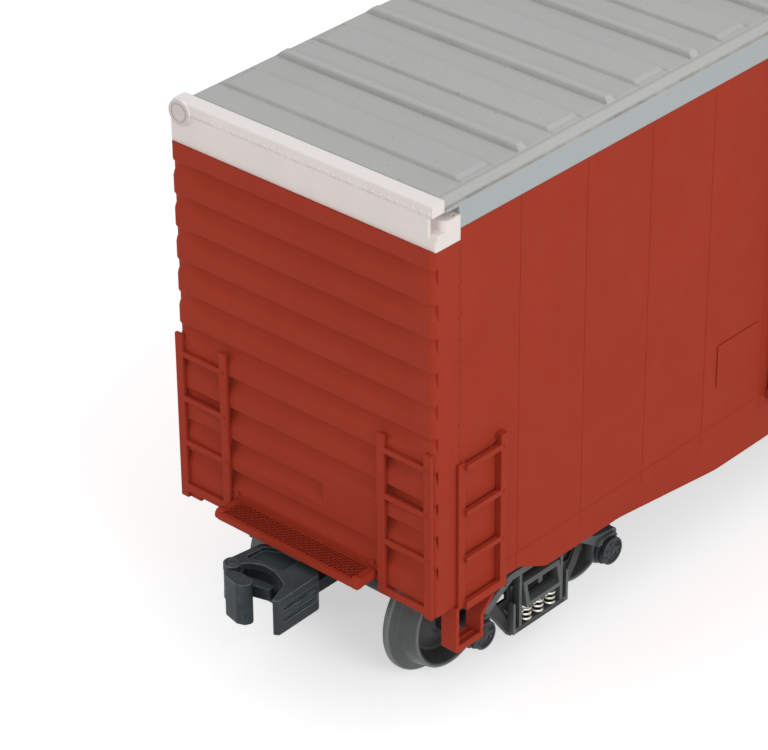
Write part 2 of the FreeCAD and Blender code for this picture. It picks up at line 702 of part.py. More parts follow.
# ---------------------------------------------------------------- coupler
# The coupler rides on the truck; x is counted from the truck's pivot, outward is negative.
def coupler_x(beyond_end):
    return -truck_inset - beyond_end


def knuckle_pivot():
    return coupler_x(coupler_reach - 4.0), 6.35


def coupler_body():
    """Coupler head with its guard arm and round throat, the lugs over the knuckle's pin, and the tongue."""
    front = coupler_x(coupler_reach)
    px, py = knuckle_pivot()
    throat_x = front + 6.8
    plan = [(front + 0.3, -6.2, 0.3), (front + 0.9, -7.2, 0.5), (front + 11.0, -6.9, 1.5),
            (front + 13.0, -3.5, 1), (front + 13.0, 3.5, 1), (front + 11.4, 6.6, 1.5),
            (px + 1.0, py + 1.2), (px + 0.6, py - 1.3), (throat_x - 0.9, 4.1, 1.2),
            (throat_x, 2.0, 1.5), (throat_x, -0.6, 3.0), (throat_x - 1.7, -4.6, 1.5)]
    block = slab(plan, "xy", coupler_bottom, coupler_top)
    lug = rod(ear_radius, (px, py, coupler_bottom), (px, py, coupler_top))
    hub_room = rod(hub_radius + run_gap, (px, py, hub_low - run_gap), (px, py, hub_high + run_gap))
    tail_swing = [(px - 2.4, py - 1.0), (px + 2.4, py), (throat_x + 0.8, 2.0), (throat_x + 0.8, -2.4),
                  (px - 2.4, -3.0)]
    tail_room = slab(tail_swing, "xy", hub_low - run_gap, hub_high + run_gap)
    hollow = [(throat_x + 1.1, -1.7, 0.5), (front + 12.4, -1.7, 0.5), (front + 12.4, 3.0, 0.5),
              (front + 10.8, 5.6, 0.5), (px + 2.6, py - 0.4, 0.5), (throat_x + 0.5, 3.6, 0.5)]
    pocket = slab(hollow, "xy", coupler_top - 0.8, coupler_top + 1)
    pin_bore = rod(knuckle_pin_radius, (px, py, coupler_bottom - 1), (px, py, coupler_top + 1))
    flutes = [slab([(front + 2.0, z), (front + 10.6, z), (front + 10.6, z + 1.0), (front + 2.0, z + 1.0)],
                   "xz", -8, -6.5) for z in (coupler_bottom + 2.0, coupler_bottom + 4.2)]
    block = cut(fuse([block, lug]), [hub_room, tail_room, pocket, pin_bore] + flutes)
    tongue = slab([(front + 11.5, -3.5), (front + 11.5, 3.5), (-9, 3.5, 3), (-5, 5.5, 3), (3.5, 5.5, 3),
                   (3.5, -5.5, 3), (-5, -5.5, 3), (-9, -3.5, 3)], "xy", tongue_bottom, tongue_top)
    bore = rod(pin_radius + pin_clearance, (0, 0, tongue_bottom - 1), (0, 0, tongue_top + 1))
    return cut(fuse([block, tongue]), [bore])


def knuckle():
    """Knuckle: a hub round its pin, a tall nose in front of the throat and a tail inside it."""
    px, py = knuckle_pivot()
    front = coupler_x(coupler_reach)
    nose_plan = [(px - 1.4, py - 1.5, 0.4), (px - 1.0, py - 3.4, 0.8), (px - 1.3, py - 6.0, 0.9),
                 (px - 2.3, py - 6.6, 0.9), (front + 0.5, py - 6.0, 0.9), (front, py - 4.6, 1.0),
                 (front + 0.7, py - 1.4, 1.2), (px - 2.1, py - 0.3, 0.6)]
    nose = slab(nose_plan, "xy", knuckle_bottom, coupler_top - 0.2)
    hub = rod(hub_radius, (px, py, hub_low), (px, py, hub_high))
    web_plan = [(px - 0.2, py + 1.2), (px - 1.8, py - 0.8), (px - 1.8, py - 2.4), (px + 1.0, py - 1.0)]
    web = slab(web_plan, "xy", hub_low, hub_high)
    tail_plan = [(px - 1.2, py - 1.0), (px + 1.2, py - 1.0), (px + 2.2, py - 7.6, 0.5), (px + 0.8, py - 7.8, 0.5)]
    tail = slab(tail_plan, "xy", hub_low + 0.6, hub_high - 0.9)
    bore = rod(knuckle_pin_radius, (px, py, hub_low - 1), (px, py, hub_high + 1))
    return cut(fuse([nose, hub, web, tail]), [bore])


def knuckle_pin():
    """Pin through the lugs and the knuckle's hub."""
    px, py = knuckle_pivot()
    return rod(knuckle_pin_radius - fit, (px, py, coupler_bottom - 0.3), (px, py, coupler_top + 0.15))


# ---------------------------------------------------------------- nodes
def both_ends(name, shapes):
    """One node at the A end and its half-turned copy at the B end."""
    return {name + "_a": shapes, name + "_b": [turned(shape) for shape in shapes]}


def truck_nodes():
    nodes = {}
    nodes.update(both_ends("bolster", [at_truck(bolster())]))
    nodes.update(both_ends("side_frame_right", [at_truck(side_frame())]))
    nodes.update(both_ends("side_frame_left", [at_truck(mirrored(side_frame()))]))
    caps = bearing_caps()
    nodes.update(both_ends("bearing_caps", [at_truck(s) for s in caps + [mirrored(c) for c in caps]]))
    coils = springs()
    nodes.update(both_ends("springs", [at_truck(s) for s in coils + [mirrored(c) for c in coils]]))
    nodes.update(both_ends("outer_wheelset", [at_truck(moved(wheelset(), x=-wheelbase / 2))]))
    nodes.update(both_ends("inner_wheelset", [at_truck(moved(wheelset(), x=wheelbase / 2))]))
    nodes.update(both_ends("coupler", [at_truck(coupler_body())]))
    nodes.update(both_ends("knuckle", [at_truck(knuckle())]))
    nodes.update(both_ends("knuckle_pin", [at_truck(knuckle_pin())]))
    return nodes


def body_nodes():
    nodes = {}
    nodes.update(both_ends("end_wall", [at_end(end_wall())]))
    nodes.update(both_ends("end_cap", [at_end(end_cap())]))
    nodes.update(both_ends("platform", [at_end(platform())]))
    nodes.update(both_ends("end_ladders", [at_end(s) for s in end_ladders()]))
    nodes.update(both_ends("pivot_pin", [pivot_pin()]))
    wall_right = side_wall()
    ladder_right = at_end(side_ladder())
    step_right = at_end(corner_step())
    far_ladder = turned(mirrored(ladder_right))
    nodes["side_wall_right"] = [wall_right]
    nodes["side_wall_left"] = [turned(wall_right)]
    nodes["side_ladders_right"] = [ladder_right, far_ladder]
    nodes["side_ladders_left"] = [turned(ladder_right), turned(far_ladder)]
    nodes["corner_step_right"] = [step_right]
    nodes["corner_step_left"] = [turned(step_right)]
    nodes["door_right"] = [door()]
    nodes["door_left"] = [turned(door())]
    nodes["door_tracks_right"] = door_tracks()
    nodes["door_tracks_left"] = [turned(track) for track in door_tracks()]
    nodes["route_boards"] = [route_board(), turned(route_board())]
    nodes["roof"] = [roof()]
    nodes["floor"] = [floor()]
    nodes["center_sill"] = [center_sill()]
    nodes["cross_bearers"] = cross_bearers()
    nodes["body_bolsters"] = body_bolsters()
    nodes["brake_housing"] = [turned(at_end(brake_housing()))]
    nodes["brake_wheel"] = [turned(at_end(brake_wheel()))]
    nodes["brake_equipment"] = brake_equipment()
    return nodes


def main():
    os.makedirs("parts", exist_ok=True)
    nodes = body_nodes()
    nodes.update(truck_nodes())
    for name, shapes in nodes.items():
        shape = shapes[0] if len(shapes) == 1 else Part.makeCompound(shapes)
        shape.exportStep("parts/" + name + ".step")
        box_size = shape.BoundBox
        print(name, len(shape.Solids), shape.isValid(), round(shape.Volume, 1),
              [round(v, 2) for v in (box_size.XMin, box_size.XMax, box_size.YMin, box_size.YMax,
                                     box_size.ZMin, box_size.ZMax)])


main()
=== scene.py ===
import json
import math

import bmesh
import bpy
from mathutils import Matrix, Vector

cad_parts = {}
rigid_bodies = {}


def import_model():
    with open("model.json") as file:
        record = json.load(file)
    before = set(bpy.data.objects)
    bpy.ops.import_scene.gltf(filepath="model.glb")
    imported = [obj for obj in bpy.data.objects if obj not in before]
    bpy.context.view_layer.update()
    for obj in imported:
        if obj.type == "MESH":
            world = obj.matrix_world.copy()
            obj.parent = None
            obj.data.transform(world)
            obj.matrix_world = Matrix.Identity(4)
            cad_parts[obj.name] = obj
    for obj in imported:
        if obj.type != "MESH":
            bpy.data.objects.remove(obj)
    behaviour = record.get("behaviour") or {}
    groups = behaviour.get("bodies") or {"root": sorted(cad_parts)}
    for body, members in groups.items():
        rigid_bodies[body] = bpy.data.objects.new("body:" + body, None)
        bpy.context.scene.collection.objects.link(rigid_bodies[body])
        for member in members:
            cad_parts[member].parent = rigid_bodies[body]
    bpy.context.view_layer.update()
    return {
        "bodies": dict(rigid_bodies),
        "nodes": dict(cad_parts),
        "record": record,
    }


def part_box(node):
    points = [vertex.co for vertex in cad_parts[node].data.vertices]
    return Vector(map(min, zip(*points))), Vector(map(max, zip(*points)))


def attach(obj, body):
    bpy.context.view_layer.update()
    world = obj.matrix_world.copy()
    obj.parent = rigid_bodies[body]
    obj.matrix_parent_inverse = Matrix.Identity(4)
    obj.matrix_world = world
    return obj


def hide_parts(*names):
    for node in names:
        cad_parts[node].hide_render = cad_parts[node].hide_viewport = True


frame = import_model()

# An O gauge high-cube boxcar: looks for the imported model, in metres, in the model's own frame.
# The A end is at -X, the right side at -Y, and the rail's head is 1.8 mm above the floor.
# Sizes below are in millimetres, and MM turns them into metres.
# Pieces of an end are drawn at the A end; the B end is the same set turned half a turn about Z.

MM = 0.001
END = -110.3                 # plane of the A end
SIDE = 28.5                  # half the width over the side walls
RAIL = 1.8                   # rail's head over the floor
TRUCK = -79.45               # pivot of the A truck
AXLE = 16.8                  # pivot to an axle
AXLE_Z = 11.3                # axles over the floor
KNUCKLE_PIN = (-122.2, 6.35)             # x and y, at the A end
SEAM_PITCH = 21.8            # from one roof seam to the next
END_RUNGS = (32.6, 41.3, 50.0)           # over the rail's head, on the end ladders
SIDE_RUNGS = (30.2, 39.2, 47.9)          # the same on the side ladders
CREASE = 38.0                # degrees; blunter edges are shaded smooth
nodes = frame["nodes"]
slot_of = {part["node"]: part["material_slot"] for part in frame["record"]["subparts"]}
HALF_TURN = Matrix.Rotation(math.pi, 4, "Z")


# ---------------------------------------------------------------- camera, floor and light
STUDIO_FILL = 0.84           # the world's light on the car
FLOOR_GLOW = 0.52            # added where the floor is seen, so that it reads white round the shadow


def set_camera():
    """Looks down at the A end and the right side from the front corner."""
    across = Vector((0.67137, -0.74108, -0.00849)).normalized()
    back = Vector((-0.63057, -0.57719, 0.51888)).normalized()
    up = back.cross(across).normalized()
    across = up.cross(back)
    data = bpy.data.cameras.new("camera")
    data.lens = 165.4
    data.clip_start, data.clip_end = 0.05, 20
    camera = bpy.data.objects.new("camera", data)
    bpy.context.scene.collection.objects.link(camera)
    turn = Matrix((across, up, back)).transposed().to_4x4()
    camera.matrix_world = Matrix.Translation(Vector((-461.8, -339.0, 354.0)) * MM) @ turn
    bpy.context.scene.camera = camera


def area_lamp(name, place, target, size, power):
    data = bpy.data.lights.new(name, "AREA")
    data.shape = "DISK"
    data.size = size
    data.energy = power
    lamp = bpy.data.objects.new(name, data)
    bpy.context.scene.collection.objects.link(lamp)
    lamp.location = place
    lamp.rotation_mode = "QUATERNION"
    lamp.rotation_quaternion = (Vector(target) - Vector(place)).to_track_quat("-Z", "Y")


def backdrop_rays(tree):
    """1 for the rays that see the backdrop: the camera's own and those off gloss or through glass."""
    paths = tree.nodes.new("ShaderNodeLightPath")
    rays = paths.outputs["Is Camera Ray"]
    for kind in ("Is Glossy Ray", "Is Transmission Ray"):
        either = tree.nodes.new("ShaderNodeMath")
        either.operation = "MAXIMUM"
        tree.links.new(rays, either.inputs[0])
        tree.links.new(paths.outputs[kind], either.inputs[1])
        rays = either.outputs[0]
    return rays


def set_light():
    world = bpy.data.worlds.new("studio")
    bpy.context.scene.world = world
    world.use_nodes = True
    tree = world.node_tree
    tree.nodes.clear()
    out = tree.nodes.new("ShaderNodeOutputWorld")
    seen = tree.nodes.new("ShaderNodeBackground")
    seen.inputs["Color"].default_value = (1, 1, 1, 1)
    seen.inputs["Strength"].default_value = 1.0
    lit = tree.nodes.new("ShaderNodeBackground")
    lit.inputs["Strength"].default_value = STUDIO_FILL
    mix = tree.nodes.new("ShaderNodeMixShader")
    tree.links.new(backdrop_rays(tree), mix.inputs[0])
    tree.links.new(lit.outputs[0], mix.inputs[1])
    tree.links.new(seen.outputs[0], mix.inputs[2])
    tree.links.new(mix.outputs[0], out.inputs[0])
    area_lamp("side_lamp", (-0.30, -1.10, 0.62), (0, 0, 0.05), 0.7, 4.4)
    area_lamp("end_lamp", (-1.05, 0.62, 0.42), (-0.11, 0, 0.05), 0.3, 0.75)


def set_floor():
    mesh = bpy.data.meshes.new("studio_floor")
    reach = 4.0
    mesh.from_pydata([(-reach, -reach, 0), (reach, -reach, 0), (reach, reach, 0), (-reach, reach, 0)],
                     [], [(0, 1, 2, 3)])
    floor = bpy.data.objects.new("studio_floor", mesh)
    bpy.context.scene.collection.objects.link(floor)
    material = bpy.data.materials.new("studio_floor")
    material.use_nodes = True
    tree = material.node_tree
    tree.nodes.clear()
    out = tree.nodes.new("ShaderNodeOutputMaterial")
    diffuse = tree.nodes.new("ShaderNodeBsdfDiffuse")
    diffuse.inputs["Color"].default_value = (0.8, 0.8, 0.8, 1)
    glow = tree.nodes.new("ShaderNodeEmission")
    glow.inputs["Color"].default_value = (1, 1, 1, 1)
    scale = tree.nodes.new("ShaderNodeMath")
    scale.operation = "MULTIPLY"
    scale.inputs[1].default_value = FLOOR_GLOW
    add = tree.nodes.new("ShaderNodeAddShader")
    tree.links.new(backdrop_rays(tree), scale.inputs[0])
    tree.links.new(scale.outputs[0], glow.inputs["Strength"])
    tree.links.new(diffuse.outputs[0], add.inputs[0])
    tree.links.new(glow.outputs[0], add.inputs[1])
    tree.links.new(add.outputs[0], out.inputs[0])
    mesh.materials.append(material)


bpy.context.scene.view_settings.view_transform = "Standard"
set_camera()
set_light()
set_floor()


# ---------------------------------------------------------------- materials
class Shade:
    """A Principled material under construction: short calls that add and join its nodes."""

    def __init__(self, name, roughness, specular=0.3, metallic=0.0):
        self.material = bpy.data.materials.new(name)
        self.material.use_nodes = True
        self.tree = self.material.node_tree
        self.shader = self.tree.nodes["Principled BSDF"]
        self.shader.inputs["Roughness"].default_value = roughness
        self.shader.inputs["Specular IOR Level"].default_value = specular
        self.shader.inputs["Metallic"].default_value = metallic
        self.place = self.add("ShaderNodeTexCoord").outputs["Object"]

    def add(self, kind, **settings):
        node = self.tree.nodes.new(kind)
        for key, value in settings.items():
            setattr(node, key, value)
        return node

    def feed(self, socket, value):
        if isinstance(value, bpy.types.NodeSocket):
            self.tree.links.new(value, socket)
        else:
            socket.default_value = value

    def math(self, operation, first, second=0.0, third=0.0):
        node = self.add("ShaderNodeMath", operation=operation)
        for socket, value in zip(node.inputs, (first, second, third)):
            self.feed(socket, value)
        return node.outputs[0]

    def moved(self, centre=(0, 0, 0), scale=(1, 1, 1)):
        """Object coordinates counted from a centre in millimetres, then stretched."""
        node = self.add("ShaderNodeMapping")
        node.inputs["Location"].default_value = [-c * MM * s for c, s in zip(centre, scale)]
        node.inputs["Scale"].default_value = scale
        self.feed(node.inputs["Vector"], self.place)
        return node.outputs[0]

    def axes(self, vector):
        """A node whose three outputs are a vector's x, y and z."""
        split = self.add("ShaderNodeSeparateXYZ")
        self.feed(split.inputs[0], vector)
        return split

    def noise(self, size, detail=3.0, rough=0.55):
        """Noise whose features are about size millimetres across."""
        node = self.add("ShaderNodeTexNoise")
        node.inputs["Scale"].default_value = 0.7 / (size * MM)
        node.inputs["Detail"].default_value = detail
        node.inputs["Roughness"].default_value = rough
        self.feed(node.inputs["Vector"], self.place)
        return node.outputs["Fac"]

    def span(self, value, low, high, to_low=0.0, to_high=1.0):
        node = self.add("ShaderNodeMapRange")
        for key, number in (("From Min", low), ("From Max", high), ("To Min", to_low), ("To Max", to_high)):
            node.inputs[key].default_value = number
        self.feed(node.inputs["Value"], value)
        return node.outputs["Result"]

    def mix(self, factor, first, second):
        node = self.add("ShaderNodeMix", data_type="RGBA")
        self.feed(node.inputs[0], factor)
        for socket, value in ((node.inputs[6], first), (node.inputs[7], second)):
            self.feed(socket, value if isinstance(value, bpy.types.NodeSocket) else tuple(value) + (1,))
        return node.outputs[2]

    def edges(self, width):
        """1 on outer and inner edges of about that width in millimetres and 0 on flat faces;
        and a normal softened at the edges."""
        soft = self.add("ShaderNodeBevel", samples=6)
        soft.inputs["Radius"].default_value = width * MM
        plain = self.add("ShaderNodeNewGeometry").outputs["Normal"]
        facing = self.add("ShaderNodeVectorMath", operation="DOT_PRODUCT")
        self.feed(facing.inputs[0], soft.outputs[0])
        self.feed(facing.inputs[1], plain)
        return self.span(facing.outputs["Value"], 0.995, 0.86), soft.outputs[0]

    def bump(self, height, distance, strength=1.0, normal=None):
        node = self.add("ShaderNodeBump")
        node.inputs["Distance"].default_value = distance * MM
        node.inputs["Strength"].default_value = strength
        self.feed(node.inputs["Height"], height)
        if normal is not None:
            self.feed(node.inputs["Normal"], normal)
        return node.outputs[0]

    def done(self, colour, roughness=None, normal=None):
        self.feed(self.shader.inputs["Base Color"], colour)
        if roughness is not None:
            self.feed(self.shader.inputs["Roughness"], roughness)
        if normal is not None:
            self.feed(self.shader.inputs["Normal"], normal)
        return self.material


def scaled(colour, factor):
    return tuple(c * factor for c in colour)


def painted(name, colour, roughness, specular, mottle=0.05, patch=18.0, speck=None, specks=0.12,
            edge=1.08, peel=0.012, softness=0.12, marks_and_light=None):
    """Moulded and painted shell: fine orange peel, slow colour drift, a few specks and softened edges, their
    colour lifted by edge as a painted highlight.
    marks adds a piece's own colouring and its painted light and shade to the base colour."""
    s = Shade(name, roughness, specular)
    slow = s.noise(patch, 2.0)
    fine = s.noise(0.9, 4.0, 0.6)
    drift = s.math("ADD", s.math("MULTIPLY", slow, 0.7), s.math("MULTIPLY", fine, 0.3))
    base = s.mix(s.span(drift, 0.3, 0.7), scaled(colour, 1 - mottle), scaled(colour, 1 + mottle))
    rim, soft = s.edges(softness)
    # Painted highlight: the edges are lifted to the colour times edge.
    base = s.mix(s.math("MULTIPLY", rim, 0.6), base, scaled(colour, edge))
    if speck is not None:
        dots = s.span(s.noise(0.55, 2.0, 0.4), 0.735, 0.77)
        base = s.mix(s.math("MULTIPLY", dots, specks * 4), base, speck)
    if marks_and_light is not None:
        base = marks_and_light(s, base)
    grain = s.math("ADD", s.noise(0.35, 2.0), s.math("MULTIPLY", s.noise(1.6, 2.0), 0.8))
    rough = s.span(s.noise(3.5, 3.0), 0.3, 0.7, roughness - 0.05, roughness + 0.07)
    return s.done(base, rough, s.bump(grain, peel, 1.0, soft))


def band(s, value, middle, half):
    """1 where a length equals middle, falling to 0 at half a width away; both in millimetres."""
    return s.span(s.math("ABSOLUTE", s.math("SUBTRACT", value, middle * MM)), 0.0, half * MM, 1.0, 0.0)


def roof_marks_and_light(s, base):
    """Painted shade in the feet of the seams and panels, a painted highlight on the seam crests, a darker
    line along the curb, a dirty groove over the fascia with a painted highlight on the lip above it, and a
    cooler fascia.
    """
    split = s.axes(s.place)
    x, z = split.outputs[0], split.outputs[2]
    y = s.math("ABSOLUTE", split.outputs[1])
    seam_foot, panel_foot, panel_end = 1.2, 7.2, 25.9
    curb, fascia_start = 26.25, 27.3
    groove_height, lip_height, fascia_top = RAIL + 95.55, RAIL + 96.15, RAIL + 95.3
    to_seam = s.math("PINGPONG", x, SEAM_PITCH / 2 * MM)
    flat = s.math("LESS_THAN", y, panel_end * MM)
    breakup = s.span(s.noise(5.0, 4.0, 0.65), 0.3, 0.7, 0.55, 1.0)
    # Painted shade: dark lines at the feet of the seams and panels.
    feet = s.math("MAXIMUM", band(s, to_seam, seam_foot, 0.5),
                  s.math("MULTIPLY", band(s, to_seam, panel_foot, 0.5), 0.8))
    feet = s.math("MULTIPLY", s.math("MULTIPLY", feet, flat), breakup)
    base = s.mix(s.math("MULTIPLY", feet, 0.55), base, (0.20, 0.20, 0.19))
    # Painted highlight: a light line along each seam's crest.
    crest = s.math("MULTIPLY", band(s, to_seam, 0.0, 0.5), flat)
    base = s.mix(s.math("MULTIPLY", crest, 0.25), base, (0.58, 0.59, 0.58))
    base = s.mix(s.math("MULTIPLY", band(s, y, curb, 0.35), 0.35), base, (0.24, 0.24, 0.22))
    side = s.math("GREATER_THAN", y, fascia_start * MM)
    patchy = s.span(s.noise(4.0, 5.0, 0.7), 0.36, 0.60, 0.35, 1.0)
    groove = s.math("MULTIPLY", s.math("MULTIPLY", band(s, z, groove_height, 0.3), side), patchy)
    base = s.mix(s.math("MULTIPLY", groove, 0.75), base, (0.17, 0.135, 0.105))
    # Painted highlight: a light line on the lip above the groove.
    lip = s.math("MULTIPLY", band(s, z, lip_height, 0.22), side)
    base = s.mix(s.math("MULTIPLY", lip, 0.35), base, (0.58, 0.58, 0.56))
    fascia = s.math("MULTIPLY", side, s.math("LESS_THAN", z, fascia_top * MM))
    return s.mix(s.math("MULTIPLY", fascia, 0.8), base, (0.42, 0.455, 0.465))


def cap_light_and_marks(s, base):
    """The band's front in its plain colour, a painted highlight on its top edge, a darker line along the
    rivets and a darker knob.
    """
    split = s.axes(s.place)
    height = split.outputs[2]
    rim_top, rivet_line = RAIL + 96.95, RAIL + 95.05
    front_skin, knob_front = -END + 0.25, -END + 0.75
    # Painted highlight: the top face of the rim is lightened.
    top = s.span(height, (rim_top - 0.1) * MM, rim_top * MM)
    base = s.mix(s.math("MULTIPLY", top, 0.8), base, (0.96, 0.915, 0.90))
    away = s.math("ABSOLUTE", split.outputs[0])
    front = s.math("GREATER_THAN", away, front_skin * MM)
    patchy = s.span(s.noise(2.2, 4.0, 0.65), 0.4, 0.62)
    line = s.math("MULTIPLY", s.math("MULTIPLY", band(s, height, rivet_line, 0.28), front), patchy)
    base = s.mix(s.math("MULTIPLY", line, 0.45), base, (0.52, 0.44, 0.40))
    knob = s.math("GREATER_THAN", away, knob_front * MM)
    return s.mix(s.math("MULTIPLY", knob, 0.6), base, (0.62, 0.56, 0.54))


def tray_painted_shade(s, base):
    """Painted shade: the floor of the crossover step's tray is darkened, under its grating."""
    split = s.axes(s.place)
    x = s.math("ABSOLUTE", split.outputs[0])
    y = s.math("ABSOLUTE", split.outputs[1])
    reach, half_length = -END + 5.35, 14.65
    tray_floor, tray_rim = RAIL + 24.8, RAIL + 25.25
    inside = s.math("MULTIPLY", s.math("LESS_THAN", x, reach * MM), s.math("LESS_THAN", y, half_length * MM))
    low = s.math("MULTIPLY", inside, s.math("LESS_THAN", split.outputs[2], tray_rim * MM))
    open_top = s.math("MULTIPLY", low, s.math("GREATER_THAN", split.outputs[2], tray_floor * MM))
    # Painted shade over the tray's floor.
    return s.mix(s.math("MULTIPLY", open_top, 0.8), base, (0.10, 0.022, 0.020))


def truck_frame_finish(name):
    """Cast truck: blackened, with painted shade in its recesses and painted light towards its outer faces, a
    little dust, and edges lightened by use and a painted highlight.
    """
    s = Shade(name, 0.5, 0.35)
    split = s.axes(s.place)
    recess, outer_face = 22.9, 24.75
    seat_half, seat_top = 6.0, RAIL + 4.2
    # Painted light and shade: out runs from 0 in the recesses to 1 on the outer faces, from the dark colour
    # to the light one.
    out = s.span(s.math("ABSOLUTE", split.outputs[1]), recess * MM, outer_face * MM)
    rim, soft = s.edges(0.16)
    breakup = s.span(s.noise(1.3, 4.0, 0.65), 0.36, 0.64)
    drift = s.span(s.noise(5.0, 3.0), 0.3, 0.7, 0.75, 1.0)
    # Painted shade at the spring seats: there the light colour is held back.
    along = s.math("ABSOLUTE", s.math("SUBTRACT", s.math("ABSOLUTE", split.outputs[0]), -TRUCK * MM))
    seat_shade = s.math("MULTIPLY", s.span(along, seat_half * MM, (seat_half + 0.6) * MM, 1.0, 0.0),
                  s.span(split.outputs[2], seat_top * MM, (seat_top + 0.6) * MM, 1.0, 0.0))
    drift = s.math("MULTIPLY", drift, s.math("MULTIPLY_ADD", seat_shade, -0.75, 1.0))
    base = s.mix(s.math("MULTIPLY", out, drift), (0.012, 0.013, 0.013), (0.116, 0.128, 0.124))
    dust = s.math("MULTIPLY", s.span(s.noise(2.6, 5.0, 0.7), 0.52, 0.72), 0.25)
    base = s.mix(dust, base, (0.11, 0.108, 0.095))
    # Lighter edges: partly from use, partly a painted highlight.
    rubbed_and_highlit = s.math("MULTIPLY", rim, s.math("MULTIPLY_ADD", breakup, 0.6, 0.4))
    base = s.mix(s.math("MULTIPLY", rubbed_and_highlit, s.math("MULTIPLY_ADD", out, 0.5, 0.3)), base, (0.26, 0.28, 0.28))
    rough = s.math("MULTIPLY_ADD", rubbed_and_highlit, -0.12, s.span(s.noise(1.8, 3.0), 0.3, 0.7, 0.46, 0.62))
    grain = s.math("ADD", s.noise(0.28, 3.0), s.math("MULTIPLY", s.noise(1.0, 2.0), 0.6))
    return s.done(base, rough, s.bump(grain, 0.02, 1.0, soft))


def blackened(name, colour, worn_and_highlit, roughness, specular, wear_and_highlight=0.7, dust=None, softness=0.16, metallic=0.0,
              top_sheen=0.0):
    """Cast piece with a dark finish, lighter at its edges from use and a painted highlight, and a little
    dusty; settled is how strongly its upper faces are lightened in the dust colour, a painted sheen."""
    s = Shade(name, roughness, specular, metallic)
    rim, soft = s.edges(softness)
    breakup = s.span(s.noise(1.1, 4.0, 0.65), 0.38, 0.62)
    drift = s.span(s.noise(6.0, 3.0), 0.3, 0.7)
    base = s.mix(drift, scaled(colour, 0.8), scaled(colour, 1.25))
    if dust is not None:
        base = s.mix(s.math("MULTIPLY", s.span(s.noise(2.6, 5.0, 0.7), 0.52, 0.72), 0.35), base, dust)
    # Painted sheen: the upper faces are lightened in the dust colour.
    if top_sheen:
        facing = s.axes(s.add("ShaderNodeNewGeometry").outputs["Normal"])
        patchy = s.span(s.noise(3.2, 5.0, 0.7), 0.3, 0.7, 0.5, 1.0)
        upper = s.math("MULTIPLY", s.span(facing.outputs[2], 0.7, 0.95), patchy)
        base = s.mix(s.math("MULTIPLY", upper, top_sheen), base, dust)
    # Lighter edges: partly from use, partly a painted highlight.
    rubbed_and_highlit = s.math("MULTIPLY", rim, s.math("MULTIPLY_ADD", breakup, 0.6, 0.4))
    base = s.mix(s.math("MULTIPLY", rubbed_and_highlit, wear_and_highlight), base, worn_and_highlit)
    dull = s.span(s.noise(1.8, 3.0), 0.3, 0.7, roughness - 0.06, roughness + 0.1)
    rough = s.math("MULTIPLY_ADD", rubbed_and_highlit, -0.12, dull)
    grain = s.math("ADD", s.noise(0.28, 3.0), s.math("MULTIPLY", s.noise(1.0, 2.0), 0.6))
    return s.done(base, rough, s.bump(grain, 0.02, 1.0, soft))


RUST_SPOTS = ((-104.35, -15.65, 16.0), (-104.4, -17.2, 15.8))        # on the outer A wheel's tread


def wheel_finish(name, x):
    """Wheelset: blue-grey turned faces with fine rings, a lighter tread, painted highlights on the lips and
    edges, and a few rust spots.
    """
    hub_radius, tread_radius, flange_radius = 2.6, 8.85, 11.2
    rim_face, rim_radius = 18.9, 8.75
    s = Shade(name, 0.46, 0.4, 0.15)
    split = s.axes(s.moved((x, 0, AXLE_Z)))
    radius = s.math("SQRT", s.math("ADD", s.math("MULTIPLY", split.outputs[0], split.outputs[0]),
                                   s.math("MULTIPLY", split.outputs[2], split.outputs[2])))
    rings = s.math("SINE", s.math("MULTIPLY", radius, 2 * math.pi / (0.32 * MM)))
    tread = s.span(radius, tread_radius * MM, (tread_radius + 0.2) * MM)
    hub = s.span(radius, hub_radius * MM, (hub_radius + 0.3) * MM, 1.0, 0.0)
    grey, bright, dark = (0.038, 0.043, 0.040), (0.078, 0.094, 0.088), (0.021, 0.022, 0.021)
    drift = s.span(s.noise(3.0, 4.0, 0.6), 0.3, 0.7)
    base = s.mix(drift, scaled(grey, 0.75), scaled(grey, 1.3))
    base = s.mix(s.math("MULTIPLY", hub, 0.7), base, dark)
    base = s.mix(s.math("MULTIPLY", tread, 0.85), base, bright)
    away = s.math("ABSOLUTE", split.outputs[1])
    # Painted highlight: bright lines on the rim's outer lip and on the flange.
    outer = s.math("MULTIPLY", band(s, radius, rim_radius, 0.35),
                   s.span(away, rim_face * MM, (rim_face + 0.25) * MM))
    lip = s.math("MAXIMUM", outer, s.math("MULTIPLY", band(s, radius, flange_radius, 0.25), 0.8))
    base = s.mix(s.math("MULTIPLY", lip, 0.8), base, (0.25, 0.27, 0.265))
    rust = s.span(s.noise(1.5, 3.0, 0.5), 0.66, 0.70)
    for spot in RUST_SPOTS:
        gap = s.add("ShaderNodeVectorMath", operation="LENGTH")
        s.feed(gap.inputs[0], s.moved(spot))
        ragged = s.math("MULTIPLY_ADD", s.noise(0.6, 3.0), 0.9 * MM, gap.outputs["Value"])
        rust = s.math("MAXIMUM", rust, s.span(ragged, 0.75 * MM, 1.0 * MM, 1.0, 0.0))
    base = s.mix(s.math("MULTIPLY", rust, 0.8), base, (0.13, 0.05, 0.025))
    # Painted highlight on the wheel's edges.
    rim, soft = s.edges(0.15)
    base = s.mix(s.math("MULTIPLY", rim, 0.75), base, (0.36, 0.39, 0.38))
    rough = s.math("MULTIPLY_ADD", tread, -0.08, s.span(s.noise(0.8, 3.0), 0.3, 0.7, 0.42, 0.56))
    height = s.math("ADD", s.math("MULTIPLY", rings, 0.3), s.noise(0.5, 3.0))
    return s.done(base, rough, s.bump(height, 0.012, 1.0, soft))


def spring_wire(name):
    s = Shade(name, 0.26, 0.5, 0.95)
    base = s.mix(s.span(s.noise(0.7, 3.0), 0.3, 0.7), (0.58, 0.55, 0.49), (0.86, 0.84, 0.78))
    return s.done(base, s.span(s.noise(0.5, 2.0), 0.3, 0.7, 0.22, 0.4), s.bump(s.noise(0.25, 2.0), 0.006))


